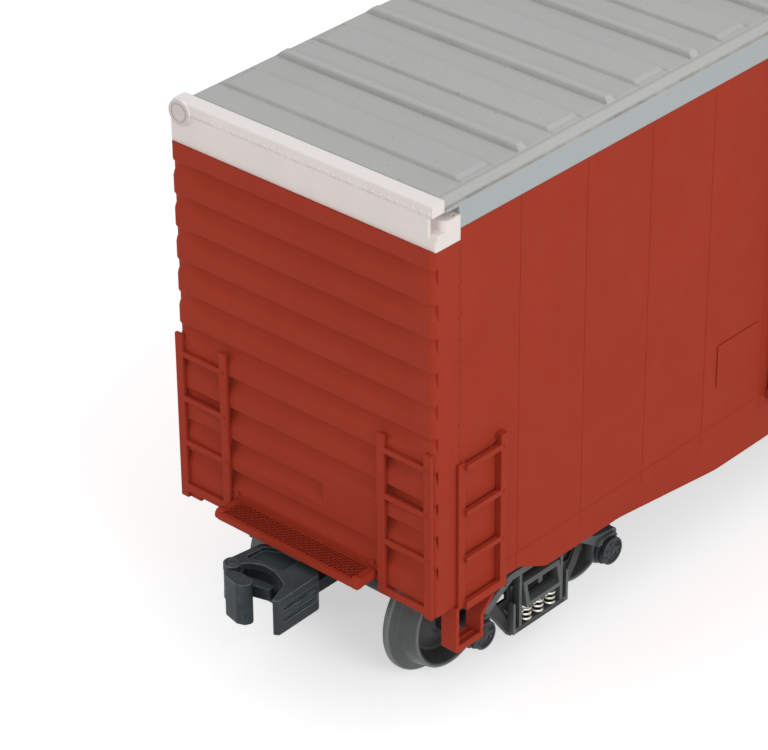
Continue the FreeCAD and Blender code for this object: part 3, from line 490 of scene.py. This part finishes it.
RED = (0.385, 0.0425, 0.0205)
GREY = (0.50, 0.505, 0.495)
WHITE = (0.87, 0.80, 0.765)
CHIP = (0.16, 0.02, 0.012)
finishes = {
    "body_red": painted("red_shell", RED, 0.6, 0.08, 0.035, speck=CHIP),
    "roof_grey": painted("roof_grey", GREY, 0.6, 0.2, 0.04, 26.0, speck=(0.22, 0.21, 0.19), specks=0.16,
                         edge=1.12, softness=0.25, marks_and_light=roof_marks_and_light),
    "band_white": painted("band_white", WHITE, 0.5, 0.25, 0.03, 5.0, speck=(0.62, 0.55, 0.52), edge=1.12,
                          peel=0.016, softness=0.2, marks_and_light=cap_light_and_marks),
    "frame_black": blackened("frame_black", (0.026, 0.027, 0.028), (0.12, 0.12, 0.12), 0.6, 0.3, 0.5),
    "truck_black": truck_frame_finish("truck_black"),
    "cap_black": blackened("cap_black", (0.022, 0.027, 0.029), (0.23, 0.26, 0.28), 0.48, 0.3, 0.7),
    "coupler_black": blackened("coupler_black", (0.020, 0.026, 0.029), (0.26, 0.32, 0.36), 0.5, 0.3, 0.8,
                               dust=(0.080, 0.115, 0.125), softness=0.3, top_sheen=0.6),
    "spring_steel": spring_wire("spring_steel"),
    "steel": blackened("steel", (0.30, 0.30, 0.30), (0.55, 0.55, 0.55), 0.35, 0.5, 0.5, metallic=0.8),
}
tray_finish = painted("red_step", RED, 0.6, 0.08, 0.035, speck=CHIP, marks_and_light=tray_painted_shade)
axle_x = {"outer_wheelset_a": TRUCK - AXLE, "inner_wheelset_a": TRUCK + AXLE,
          "outer_wheelset_b": -TRUCK + AXLE, "inner_wheelset_b": -TRUCK - AXLE}
own_finishes = {name: wheel_finish(name + "_metal", x) for name, x in axle_x.items()}
own_finishes.update({"platform_a": tray_finish, "platform_b": tray_finish})
for name, node in nodes.items():
    node.data.materials.clear()
    node.data.materials.append(own_finishes.get(name) or finishes[slot_of[name]])


# ---------------------------------------------------------------- pieces
def keep(mesh, name, body, slot, replaced=()):
    """A finished piece: its mesh is in place, it rides on a body and has a slot's finish."""
    if not mesh.materials:
        mesh.materials.append(finishes[slot])
    piece = bpy.data.objects.new(name, mesh)
    bpy.context.scene.collection.objects.link(piece)
    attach(piece, body)
    if replaced:
        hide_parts(*replaced)
    return piece


def keep_ends(mesh, name, body, slot, replaced=()):
    """The same piece at both ends: body and replaced nodes are named without their _a or _b."""
    other = mesh.copy()
    other.transform(HALF_TURN)
    for letter, shape in (("a", mesh), ("b", other)):
        rides = body if body in frame["bodies"] else body.replace("*", letter)
        keep(shape, name + "_" + letter, rides, slot, [node + "_" + letter for node in replaced])


class Shape:
    """Mesh under construction, in millimetres."""

    def __init__(self):
        self.bm = bmesh.new()

    def block(self, low, high, bevel=0.12):
        """Box between two corners, its edges rounded."""
        made = bmesh.ops.create_cube(self.bm, size=1)["verts"]
        size = [h - l for l, h in zip(low, high)]
        centre = Vector([(l + h) / 2 for l, h in zip(low, high)])
        matrix = Matrix.Translation(centre) @ Matrix.Diagonal(size + [1])
        bmesh.ops.transform(self.bm, matrix=matrix, verts=made)
        edges = list({edge for vert in made for edge in vert.link_edges})
        bmesh.ops.bevel(self.bm, geom=edges, offset=min(bevel, min(size) * 0.45), segments=2,
                        affect="EDGES", profile=0.6)

    def round(self, start, end, radius, segments=16, bevel=0.0):
        """Rod between two points, its rims rounded by the bevel."""
        start, end = Vector(start), Vector(end)
        axis = end - start
        made = bmesh.ops.create_cone(self.bm, cap_ends=True, segments=segments, radius1=radius,
                                     radius2=radius, depth=axis.length)["verts"]
        matrix = Matrix.Translation((start + end) / 2) @ axis.to_track_quat("Z", "Y").to_matrix().to_4x4()
        bmesh.ops.transform(self.bm, matrix=matrix, verts=made)
        if bevel:
            rims = [e for e in {e for v in made for e in v.link_edges}
                    if any(len(f.verts) > 4 for f in e.link_faces)]
            bmesh.ops.bevel(self.bm, geom=rims, offset=bevel, segments=2, affect="EDGES", profile=0.6)

    def pipe(self, points, radius, segments=10):
        """Round bar through points, with mitred corners and closed ends."""
        points = [Vector(p) for p in points]
        rings = []
        up = None
        for i, point in enumerate(points):
            before = (point - points[i - 1]).normalized() if i else (points[1] - point).normalized()
            after = (points[i + 1] - point).normalized() if i + 1 < len(points) else before
            along = (before + after).normalized()
            stretch = 1 / max(0.5, along.dot(after))
            if up is None:
                up = along.orthogonal().normalized()
            up = (up - along * up.dot(along)).normalized()
            side = along.cross(up)
            bend = (after - before)
            bend = bend.normalized() if bend.length > 1e-4 else None
            ring = []
            for k in range(segments):
                angle = 2 * math.pi * k / segments
                offset = (up * math.cos(angle) + side * math.sin(angle)) * radius
                if bend is not None:
                    offset += bend * offset.dot(bend) * (stretch - 1)
                ring.append(self.bm.verts.new(point + offset))
            rings.append(ring)
        for first, second in zip(rings, rings[1:]):
            for k in range(segments):
                after = (k + 1) % segments
                self.bm.faces.new((first[k], first[after], second[after], second[k]))
        self.bm.faces.new(rings[0][::-1])
        self.bm.faces.new(rings[-1])

    def lathe(self, profile, centre, axis="Y", segments=48):
        """Turn (along, radius) points about an axis through a centre."""
        rings = []
        for along, radius in profile:
            if radius < 1e-6:
                rings.append([self.bm.verts.new(self.polar(along, 0, 0, centre, axis))])
                continue
            angles = [2 * math.pi * k / segments for k in range(segments)]
            rings.append([self.bm.verts.new(self.polar(along, radius, a, centre, axis)) for a in angles])
        for first, second in zip(rings, rings[1:]):
            for k in range(segments):
                corners = [first[k % len(first)], first[(k + 1) % len(first)],
                           second[(k + 1) % len(second)], second[k % len(second)]]
                self.bm.faces.new(list(dict.fromkeys(corners)))

    @staticmethod
    def polar(along, radius, angle, centre, axis):
        u, v = radius * math.cos(angle), radius * math.sin(angle)
        offset = {"X": (along, u, v), "Y": (u, along, v), "Z": (u, v, along)}[axis]
        return Vector(centre) + Vector(offset)

    def mirror(self):
        """Add the other side of the car's middle plane."""
        whole = self.bm.verts[:] + self.bm.edges[:] + self.bm.faces[:]
        made = bmesh.ops.duplicate(self.bm, geom=whole)["geom"]
        verts = [g for g in made if isinstance(g, bmesh.types.BMVert)]
        bmesh.ops.transform(self.bm, matrix=Matrix.Diagonal((1, -1, 1, 1)), verts=verts)
        bmesh.ops.reverse_faces(self.bm, faces=[g for g in made if isinstance(g, bmesh.types.BMFace)])
        return self

    def mesh(self, name):
        """The finished mesh in metres, smooth but for its creases."""
        bmesh.ops.recalc_face_normals(self.bm, faces=self.bm.faces)
        bmesh.ops.scale(self.bm, vec=(MM, MM, MM), verts=self.bm.verts)
        for face in self.bm.faces:
            face.smooth = True
        for edge in self.bm.edges:
            if len(edge.link_faces) == 2 and edge.calc_face_angle(0) > math.radians(CREASE):
                edge.smooth = False
        mesh = bpy.data.meshes.new(name)
        self.bm.to_mesh(mesh)
        self.bm.free()
        return mesh


# ---------------------------------------------------------------- geometry node trees
class Growth:
    """A Geometry Nodes tree under construction, with named inputs."""

    def __init__(self, name, sockets, slot):
        self.tree = bpy.data.node_groups.new(name, "GeometryNodeTree")
        for label, kind, default in sockets:
            socket = self.tree.interface.new_socket(name=label, in_out="INPUT", socket_type=kind)
            socket.default_value = default
        self.tree.interface.new_socket(name="Geometry", in_out="OUTPUT", socket_type="NodeSocketGeometry")
        self.inputs = self.tree.nodes.new("NodeGroupInput").outputs
        self.material = finishes[slot]

    def add(self, kind, links=None, **settings):
        node = self.tree.nodes.new(kind)
        for key, value in settings.items():
            setattr(node, key, value)
        for key, value in (links or {}).items():
            socket = node.inputs[key]
            if isinstance(value, bpy.types.NodeSocket):
                self.tree.links.new(value, socket)
            else:
                socket.default_value = value
        return node

    def finish(self, geometry, smooth=True):
        """Ends the tree: real geometry in the tree's own material."""
        real = self.add("GeometryNodeRealizeInstances", {"Geometry": geometry}).outputs[0]
        if smooth:
            real = self.add("GeometryNodeSetShadeSmooth", {"Geometry": real}).outputs[0]
        coated = self.add("GeometryNodeSetMaterial", {"Geometry": real, "Material": self.material})
        out = self.tree.nodes.new("NodeGroupOutput")
        self.tree.links.new(coated.outputs[0], out.inputs[0])
        return self.tree


def grown(tree, **values):
    """The tree's result as a plain mesh; values name its inputs, with _ for a space."""
    holder = bpy.data.objects.new("grower", bpy.data.meshes.new("grower"))
    bpy.context.scene.collection.objects.link(holder)
    modifier = holder.modifiers.new("grow", "NODES")
    modifier.node_group = tree
    identifiers = {item.name: item.identifier for item in tree.interface.items_tree if item.in_out == "INPUT"}
    for key, value in values.items():
        modifier[identifiers[key.replace("_", " ")]] = value
    graph = bpy.context.evaluated_depsgraph_get()
    mesh = bpy.data.meshes.new_from_object(holder.evaluated_get(graph), preserve_all_data_layers=True,
                                           depsgraph=graph)
    holder.modifiers.remove(modifier)
    bpy.data.objects.remove(holder)
    return mesh


LINE_SOCKETS = [("Start", "NodeSocketVector", (0, 0, 0)), ("Step", "NodeSocketVector", (0, 0, 0)),
                ("Count", "NodeSocketInt", 1)]
SIZE_SOCKET = ("Size", "NodeSocketVector", (0.001, 0.001, 0.001))


def line_of(g):
    """The points of a straight row, from the tree's Start, Step and Count."""
    return g.add("GeometryNodeMeshLine", {"Count": g.inputs["Count"], "Start Location": g.inputs["Start"],
                                          "Offset": g.inputs["Step"]})


def stud_tree(slot):
    """A straight row of low domed studs."""
    g = Growth("studs_" + slot, LINE_SOCKETS + [SIZE_SOCKET], slot)
    line = line_of(g)
    dome = g.add("GeometryNodeMeshUVSphere", {"Segments": 10, "Rings": 6, "Radius": 0.5})
    spread = g.add("GeometryNodeInstanceOnPoints", {"Points": line.outputs[0], "Instance": dome.outputs[0],
                                                    "Scale": g.inputs["Size"]})
    return g.finish(spread.outputs[0])


def strip_tree(slot):
    """A row of equal straps, such as seams and battens."""
    g = Growth("strips_" + slot, LINE_SOCKETS + [SIZE_SOCKET], slot)
    line = line_of(g)
    strap = g.add("GeometryNodeMeshCube", {"Size": g.inputs["Size"]})
    spread = g.add("GeometryNodeInstanceOnPoints", {"Points": line.outputs[0], "Instance": strap.outputs[0]})
    return g.finish(spread.outputs[0], smooth=False)


def grating_tree(slot):
    """Expanded-metal tread: crossed bars on a grid, which leave rows of pointed holes."""
    sockets = [("Centre", "NodeSocketVector", (0, 0, 0)), ("Pitch Across", "NodeSocketFloat", 0.002),
               ("Pitch Along", "NodeSocketFloat", 0.00127), ("Rows", "NodeSocketInt", 2),
               ("Columns", "NodeSocketInt", 20), ("Bar Width", "NodeSocketFloat", 0.0003),
               ("Bar Height", "NodeSocketFloat", 0.0003)]
    g = Growth("grating_" + slot, sockets, slot)
    across, along = g.inputs["Pitch Across"], g.inputs["Pitch Along"]

    def math_node(operation, first, second=0.0):
        return g.add("ShaderNodeMath", {0: first, 1: second}, operation=operation).outputs[0]

    depth = math_node("MULTIPLY", math_node("SUBTRACT", g.inputs["Rows"], 1.0), across)
    width = math_node("MULTIPLY", math_node("SUBTRACT", g.inputs["Columns"], 1.0), along)
    grid = g.add("GeometryNodeMeshGrid", {"Size X": depth, "Size Y": width, "Vertices X": g.inputs["Rows"],
                                          "Vertices Y": g.inputs["Columns"]})
    squares = math_node("ADD", math_node("MULTIPLY", across, across), math_node("MULTIPLY", along, along))
    length = math_node("SQRT", squares)
    angle = math_node("ARCTAN2", along, across)
    size = g.add("ShaderNodeCombineXYZ", {0: length, 1: g.inputs["Bar Width"], 2: g.inputs["Bar Height"]})
    bar = g.add("GeometryNodeMeshCube", {"Size": size.outputs[0]})
    cross = g.add("GeometryNodeJoinGeometry")
    for sign in (1.0, -1.0):
        turn = g.add("ShaderNodeCombineXYZ", {2: math_node("MULTIPLY", angle, sign)})
        laid = g.add("GeometryNodeTransform", {"Geometry": bar.outputs[0], "Rotation": turn.outputs[0]})
        g.tree.links.new(laid.outputs[0], cross.inputs[0])
    spread = g.add("GeometryNodeInstanceOnPoints", {"Points": grid.outputs[0], "Instance": cross.outputs[0]})
    placed = g.add("GeometryNodeTransform", {"Geometry": spread.outputs[0],
                                             "Translation": g.inputs["Centre"]})
    return g.finish(placed.outputs[0], smooth=False)


def coil_tree(slot):
    """A row of coil springs standing on end."""
    sockets = [("Turns", "NodeSocketFloat", 4.0), ("Coil Radius", "NodeSocketFloat", 0.001),
               ("Height", "NodeSocketFloat", 0.003), ("Wire Radius", "NodeSocketFloat", 0.0003)]
    g = Growth("coils_" + slot, LINE_SOCKETS + sockets, slot)
    line = line_of(g)
    radius = g.inputs["Coil Radius"]
    coil = g.add("GeometryNodeCurveSpiral", {"Resolution": 20, "Rotations": g.inputs["Turns"],
                                             "Start Radius": radius, "End Radius": radius,
                                             "Height": g.inputs["Height"]})
    wire = g.add("GeometryNodeCurvePrimitiveCircle", {"Resolution": 8, "Radius": g.inputs["Wire Radius"]})
    skin = g.add("GeometryNodeCurveToMesh", {"Curve": coil.outputs[0], "Profile Curve": wire.outputs[0],
                                             "Fill Caps": True})
    spread = g.add("GeometryNodeInstanceOnPoints", {"Points": line.outputs[0], "Instance": skin.outputs[0]})
    return g.finish(spread.outputs[0])


def joined(meshes, name):
    """One mesh from several that share a finish."""
    bm = bmesh.new()
    for mesh in meshes:
        bm.from_mesh(mesh)
    result = bpy.data.meshes.new(name)
    bm.to_mesh(result)
    bm.free()
    for material in meshes[0].materials:
        result.materials.append(material)
    return result


def mm(*values):
    return [value * MM for value in values]


trees = {}


def row(kind, slot, start, step, count, size):
    """One row of studs or strips in a slot's finish; start, step and size are in millimetres."""
    make = {"studs": stud_tree, "strips": strip_tree}[kind]
    if (kind, slot) not in trees:
        trees[kind, slot] = make(slot)
    return grown(trees[kind, slot], Start=mm(*start), Step=mm(*step), Count=count, Size=mm(*size))


def flipped(mesh):
    """The same mesh on the other side of the car's middle plane, its faces still outwards."""
    other = mesh.copy()
    other.transform(Matrix.Diagonal((1, -1, 1, 1)))
    other.flip_normals()
    return other


# ---------------------------------------------------------------- car body
def cap_rivets():
    """Line of rivets under the rim of each end cap, from the knob to the corner ear."""
    start, spacing, count = (END - 0.42, 22.4, RAIL + 95.45), 1.65, 31
    mesh = row("studs", "band_white", start, (0, -spacing, 0), count, (0.3, 0.62, 0.62))
    keep_ends(mesh, "cap_rivets", "car_body", "band_white")


def corner_ledges():
    """Raised ledge in front of each corner ear."""
    eave = RAIL + 91.3
    s = Shape()
    s.block((END + 0.04, -SIDE + 0.04, eave - 0.1), (END + 2.9, -SIDE + 3.0, eave + 0.6), bevel=0.2)
    keep_ends(s.mesh("corner_ledge"), "corner_ledge", "car_body", "band_white")


def post_rivets():
    """Rivets down the edge of each corner post, on both sides of the car."""
    rows = []
    post_edge, spacing, count = END + 5.25, 1.95, 34
    for x in (post_edge, -post_edge):
        rows.append(row("studs", "body_red", (x, -SIDE, RAIL + 22.6), (0, 0, spacing), count,
                        (0.55, 0.3, 0.55)))
    right = joined(rows, "post_rivets_right")
    keep(flipped(right), "post_rivets_left", "car_body", "body_red")
    keep(right, "post_rivets_right", "car_body", "body_red")


def side_seams():
    """Faint welded seams between the side sheets, and the lines along the sill."""
    low, high = RAIL + 21.5, RAIL + 90.9
    first, sheet, seams = -END - 19.9, 16.55, 5
    sill_middle, sill_length, sill_line = 63.4, 82.6, RAIL + 23.85
    meshes = []
    for sign in (-1, 1):
        meshes.append(row("strips", "body_red", (sign * first, -SIDE, (low + high) / 2),
                          (-sign * sheet, 0, 0), seams, (0.3, 0.1, high - low)))
        meshes.append(row("strips", "body_red", (sign * sill_middle, -SIDE, sill_line), (0, 0, 0), 1,
                          (sill_length, 0.12, 0.35)))
    right = joined(meshes, "side_seams_right")
    keep(flipped(right), "side_seams_left", "car_body", "body_red")
    keep(right, "side_seams_right", "car_body", "body_red")


def gratings():
    """Expanded-metal tread in each crossover step's tray."""
    low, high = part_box("platform_a")
    tray_front, tray_back = low[0] / MM + 0.8, END - 1.25
    rows, columns, mesh_width = 4, 28, 1.04
    pitch = (tray_back - tray_front) / (rows - 0.5)
    centre = mm((tray_front + tray_back) / 2, 0, high[2] / MM - 0.17)
    mesh = grown(grating_tree("body_red"), Centre=centre, Pitch_Across=pitch * MM,
                 Pitch_Along=mesh_width * MM, Rows=rows, Columns=columns, Bar_Width=0.25 * MM,
                 Bar_Height=0.3 * MM)
    keep_ends(mesh, "step_grating", "car_body", "body_red")


def step_lugs():
    """Rounded bracket lobes at the ends of each crossover step, with their rivets."""
    low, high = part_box("platform_a")
    lobe = 15.4
    s = Shape()
    for y in (-lobe, lobe):
        s.lathe([(-0.75, 0), (-0.75, 0.95), (-0.6, 1.1), (0.6, 1.1), (0.75, 0.95), (0.75, 0)],
                (low[0] / MM + 1.1, y, high[2] / MM - 0.75), "Y", 20)
        s.round((END - 1.3, y, RAIL + 27.0), (END - 1.0, y, RAIL + 27.0), 0.4, 10, bevel=0.1)
    keep_ends(s.mesh("step_lugs"), "step_lugs", "car_body", "body_red")


def ladder_bosses():
    """Rivet heads where rungs meet the stiles, and the bracket at the top of each side ladder's inner
    stile."""
    s = Shape()
    face = END - 1.55
    for y in (-27.5, 17.6):
        for z in END_RUNGS:
            s.round((face - 0.2, y, RAIL + z), (face + 0.1, y, RAIL + z), 0.3, 10, bevel=0.1)
    keep_ends(s.mesh("end_ladder_rivets"), "end_ladder_rivets", "car_body", "body_red")
    s = Shape()
    front = -SIDE - 1.3
    right = END + 14.9
    for z in SIDE_RUNGS:
        s.round((right, front - 0.15, RAIL + z), (right, front + 0.1, RAIL + z), 0.3, 10, bevel=0.1)
    low, high = RAIL + 46.2, RAIL + 49.0
    hoop = [(2.15, low), (2.15, high - 0.3), (1.9, high), (0.5, high), (0.25, high - 0.3), (0.25, low)]
    s.pipe([(right - back, -SIDE - 0.05, z) for back, z in hoop], 0.22, 8)
    near = s.mesh("side_ladder_rivets")
    far = near.copy()
    far.transform(Matrix.Diagonal((-1, 1, 1, 1)))
    far.flip_normals()
    both = joined([near, far], "side_ladder_rivets")
    both.materials.append(finishes["body_red"])
    keep(flipped(both), "side_ladder_rivets_left", "car_body", "body_red")
    keep(both, "side_ladder_rivets_right", "car_body", "body_red")


def step_treads():
    """Rolled lip and two ribs on the tread of each corner step."""
    low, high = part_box("corner_step_right")
    x0, x1 = low[0] / MM + 0.8, END + 9.8
    top = low[2] / MM + 0.9
    s = Shape()
    for y in (low[1] / MM + 0.22, (low[1] + high[1]) / 2 / MM, high[1] / MM - 0.22):
        s.block((x0, y - 0.2, top - 0.15), (x1, y + 0.2, top + 0.28), 0.12)
    right = s.mesh("step_tread_right")
    left = right.copy()
    left.transform(HALF_TURN)
    keep(right, "step_tread_right", "car_body", "body_red")
    keep(left, "step_tread_left", "car_body", "body_red")


# ---------------------------------------------------------------- doors
def door_gear():
    """Two lock rods with keepers, a lever and rollers on each door."""
    low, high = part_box("door_right")
    bottom, top = low[2] / MM, high[2] / MM
    face = low[1] / MM
    rod, roller, keepers, keeper_end = 9.0, 17.5, 5, 4.0
    s = Shape()
    for x in (-rod, rod):
        s.round((x, face - 0.35, bottom + 1.0), (x, face - 0.35, top - 1.0), 0.42, 12)
        for k in range(keepers):
            z = bottom + keeper_end + k * (top - bottom - 2 * keeper_end) / (keepers - 1)
            s.block((x - 1.1, face - 0.7, z - 0.6), (x + 1.1, face + 0.3, z + 0.6), 0.2)
        s.block((x - 0.5, face - 0.85, bottom + 18.0), (x + 6.5, face - 0.35, bottom + 19.0), 0.2)
        s.block((x + 5.2, face - 0.85, bottom + 17.2), (x + 6.5, face + 0.3, bottom + 19.6), 0.2)
    for x in (-roller, roller):
        for z in (bottom + 0.9, top - 0.9):
            s.round((x, face - 0.45, z), (x, face + 0.2, z), 0.75, 18, bevel=0.15)
    right = s.mesh("door_gear_right")
    left = right.copy()
    left.transform(HALF_TURN)
    keep(right, "door_gear_right", "right_door", "body_red")
    keep(left, "door_gear_left", "left_door", "body_red")
    edge, spacing, count = 21.2, 2.4, 25
    studs = [row("studs", "body_red", (x, face, bottom + 2.2), (0, 0, spacing), count, (0.45, 0.25, 0.45))
             for x in (-edge, edge)]
    rivets = joined(studs, "door_rivets_right")
    other = rivets.copy()
    other.transform(HALF_TURN)
    keep(rivets, "door_rivets_right", "right_door", "body_red")
    keep(other, "door_rivets_left", "left_door", "body_red")


# ---------------------------------------------------------------- underside and B end
def brake_lines():
    """Train line along the sill, pipes and rods of the brake gear, and bands round its tanks."""
    z = RAIL + 19.0
    s = Shape()
    s.pipe([(-62, 6.2, z + 3.2), (-52, 6.2, z + 1.0), (-44, 7.4, z), (44, 7.4, z), (52, 6.2, z + 1.0),
            (62, 6.2, z + 3.2)], 0.55, 10)
    s.pipe([(-22.5, -14, z + 0.5), (-10, -12, z - 0.2), (10, 9, z - 0.2), (22.5, 13.6, z)], 0.35, 8)
    s.pipe([(36.0, 14, z), (44.5, 10.5, z), (58.0, 9.4, z + 2.6)], 0.4, 8)
    s.pipe([(-58.0, -9.4, z + 2.6), (-44.0, -9.4, z + 0.6), (6.0, -7.0, z), (12.0, 2.0, z - 1.6)], 0.4, 8)
    for x in (21.6, 36.0):
        s.lathe([(-0.5, 0), (-0.5, 3.3), (-0.3, 3.6), (0.3, 3.6), (0.5, 3.3), (0.5, 0)],
                (x, 14, RAIL + 19.0), "X", 28)
    for x in (-42.2, -32.0, -21.8):
        s.lathe([(-0.3, 0), (-0.3, 3.5), (-0.2, 3.6), (0.2, 3.6), (0.3, 3.5), (0.3, 0)],
                (x, -14, RAIL + 18.8), "X", 28)
    s.block((9.0, -2.6, z - 2.2), (15.0, 2.6, z - 1.2), 0.3)
    keep(s.mesh("brake_lines"), "brake_lines", "car_body", "frame_black")


def sill_rivets():
    """Rivets along the centre sill's lower edges."""
    sill_half, spacing, count = 5.0, 2.4, 41
    start = -spacing * (count - 1) / 2
    rows = [row("studs", "frame_black", (start, y, RAIL + 17.0), (spacing, 0, 0), count, (0.6, 0.3, 0.6))
            for y in (-sill_half, sill_half)]
    keep(joined(rows, "sill_rivets"), "sill_rivets", "car_body", "frame_black")


def brake_wheel_nut():
    """Nut and ratchet of the hand brake on the B end."""
    low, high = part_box("brake_wheel")
    x = high[0] / MM
    y, z = [(a + b) / 2 / MM for a, b in zip(low[1:], high[1:])]
    s = Shape()
    s.round((x - 0.2, y, z), (x + 0.7, y, z), 0.75, 6, bevel=0.12)
    s.block((x - 3.4, y - 1.9, z - 4.6), (x - 2.2, y + 1.9, z - 3.0), 0.3)
    keep(s.mesh("brake_wheel_nut"), "brake_wheel_nut", "car_body", "body_red")


# ---------------------------------------------------------------- trucks and couplers
def truck_springs():
    """Three coil springs in each side frame, under the bolster's ends."""
    low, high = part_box("springs_a")
    wire, outer_radius, pitch, nest = 0.23, 1.3, 3.15, 23.7
    tree = coil_tree("spring_steel")
    foot = low[2] / MM + wire
    height = (high[2] - low[2]) / MM - 2 * wire
    meshes = [grown(tree, Start=mm(TRUCK - pitch, y, foot), Step=mm(pitch, 0, 0), Count=3, Turns=3.4,
                    Coil_Radius=(outer_radius - wire) * MM, Height=height * MM, Wire_Radius=wire * MM)
              for y in (-nest, nest)]
    keep_ends(joined(meshes, "coil_springs"), "coil_springs", "truck_*", "spring_steel", ["springs"])


def bearing_bolts():
    """Three cap bolts and a centre plug on every axle's bearing."""
    bolts, bolt_circle = 3, 1.45
    s = Shape()
    for x in (TRUCK - AXLE, TRUCK + AXLE):
        for k in range(bolts):
            angle = math.radians(90 + 360 / bolts * k)
            px, pz = x + bolt_circle * math.cos(angle), AXLE_Z + bolt_circle * math.sin(angle)
            s.round((px, -26.4, pz), (px, -26.85, pz), 0.36, 6, bevel=0.06)
        s.lathe([(0.3, 0), (0.3, 0.75), (-0.15, 0.7), (-0.3, 0.5), (-0.3, 0)], (x, -26.6, AXLE_Z), "Y", 20)
    keep_ends(s.mirror().mesh("bearing_bolts"), "bearing_bolts", "truck_*", "cap_black")


def frame_bolts():
    """Bolt heads of the side frames, on the columns, the top chord and the bearing boxes."""
    s = Shape()
    for sign in (-1, 1):
        for z in (6.5, 12.2):
            x = TRUCK + sign * 6.2
            s.round((x, -23.0, RAIL + z), (x, -23.5, RAIL + z), 0.42, 8, bevel=0.1)
        x = TRUCK + sign * 9.2
        s.round((x, -24.7, RAIL + 15.1), (x, -25.1, RAIL + 15.1), 0.45, 6, bevel=0.1)
        for k in (-1, 1):
            bx = TRUCK + sign * AXLE + k * 2.0
            s.round((bx, -25.6, RAIL + 11.5), (bx, -25.95, RAIL + 11.5), 0.32, 8, bevel=0.08)
    keep_ends(s.mirror().mesh("frame_bolts"), "frame_bolts", "truck_*", "truck_black")


def coupler_trim():
    """Raised ring round the knuckle's pin, on top of the coupler."""
    top = RAIL + 22.6
    s = Shape()
    s.lathe([(0.0, 0.85), (0.14, 0.9), (0.2, 1.1), (0.2, 1.3), (0.1, 1.5), (0.0, 1.52)],
            (*KNUCKLE_PIN, top - 0.02), "Z", 28)
    keep_ends(s.mesh("coupler_trim"), "coupler_trim", "truck_*", "coupler_black")


cap_rivets()
corner_ledges()
post_rivets()
side_seams()
gratings()
step_lugs()
ladder_bosses()
step_treads()
door_gear()
brake_lines()
sill_rivets()
brake_wheel_nut()
truck_springs()
bearing_bolts()
frame_bolts()
coupler_trim()
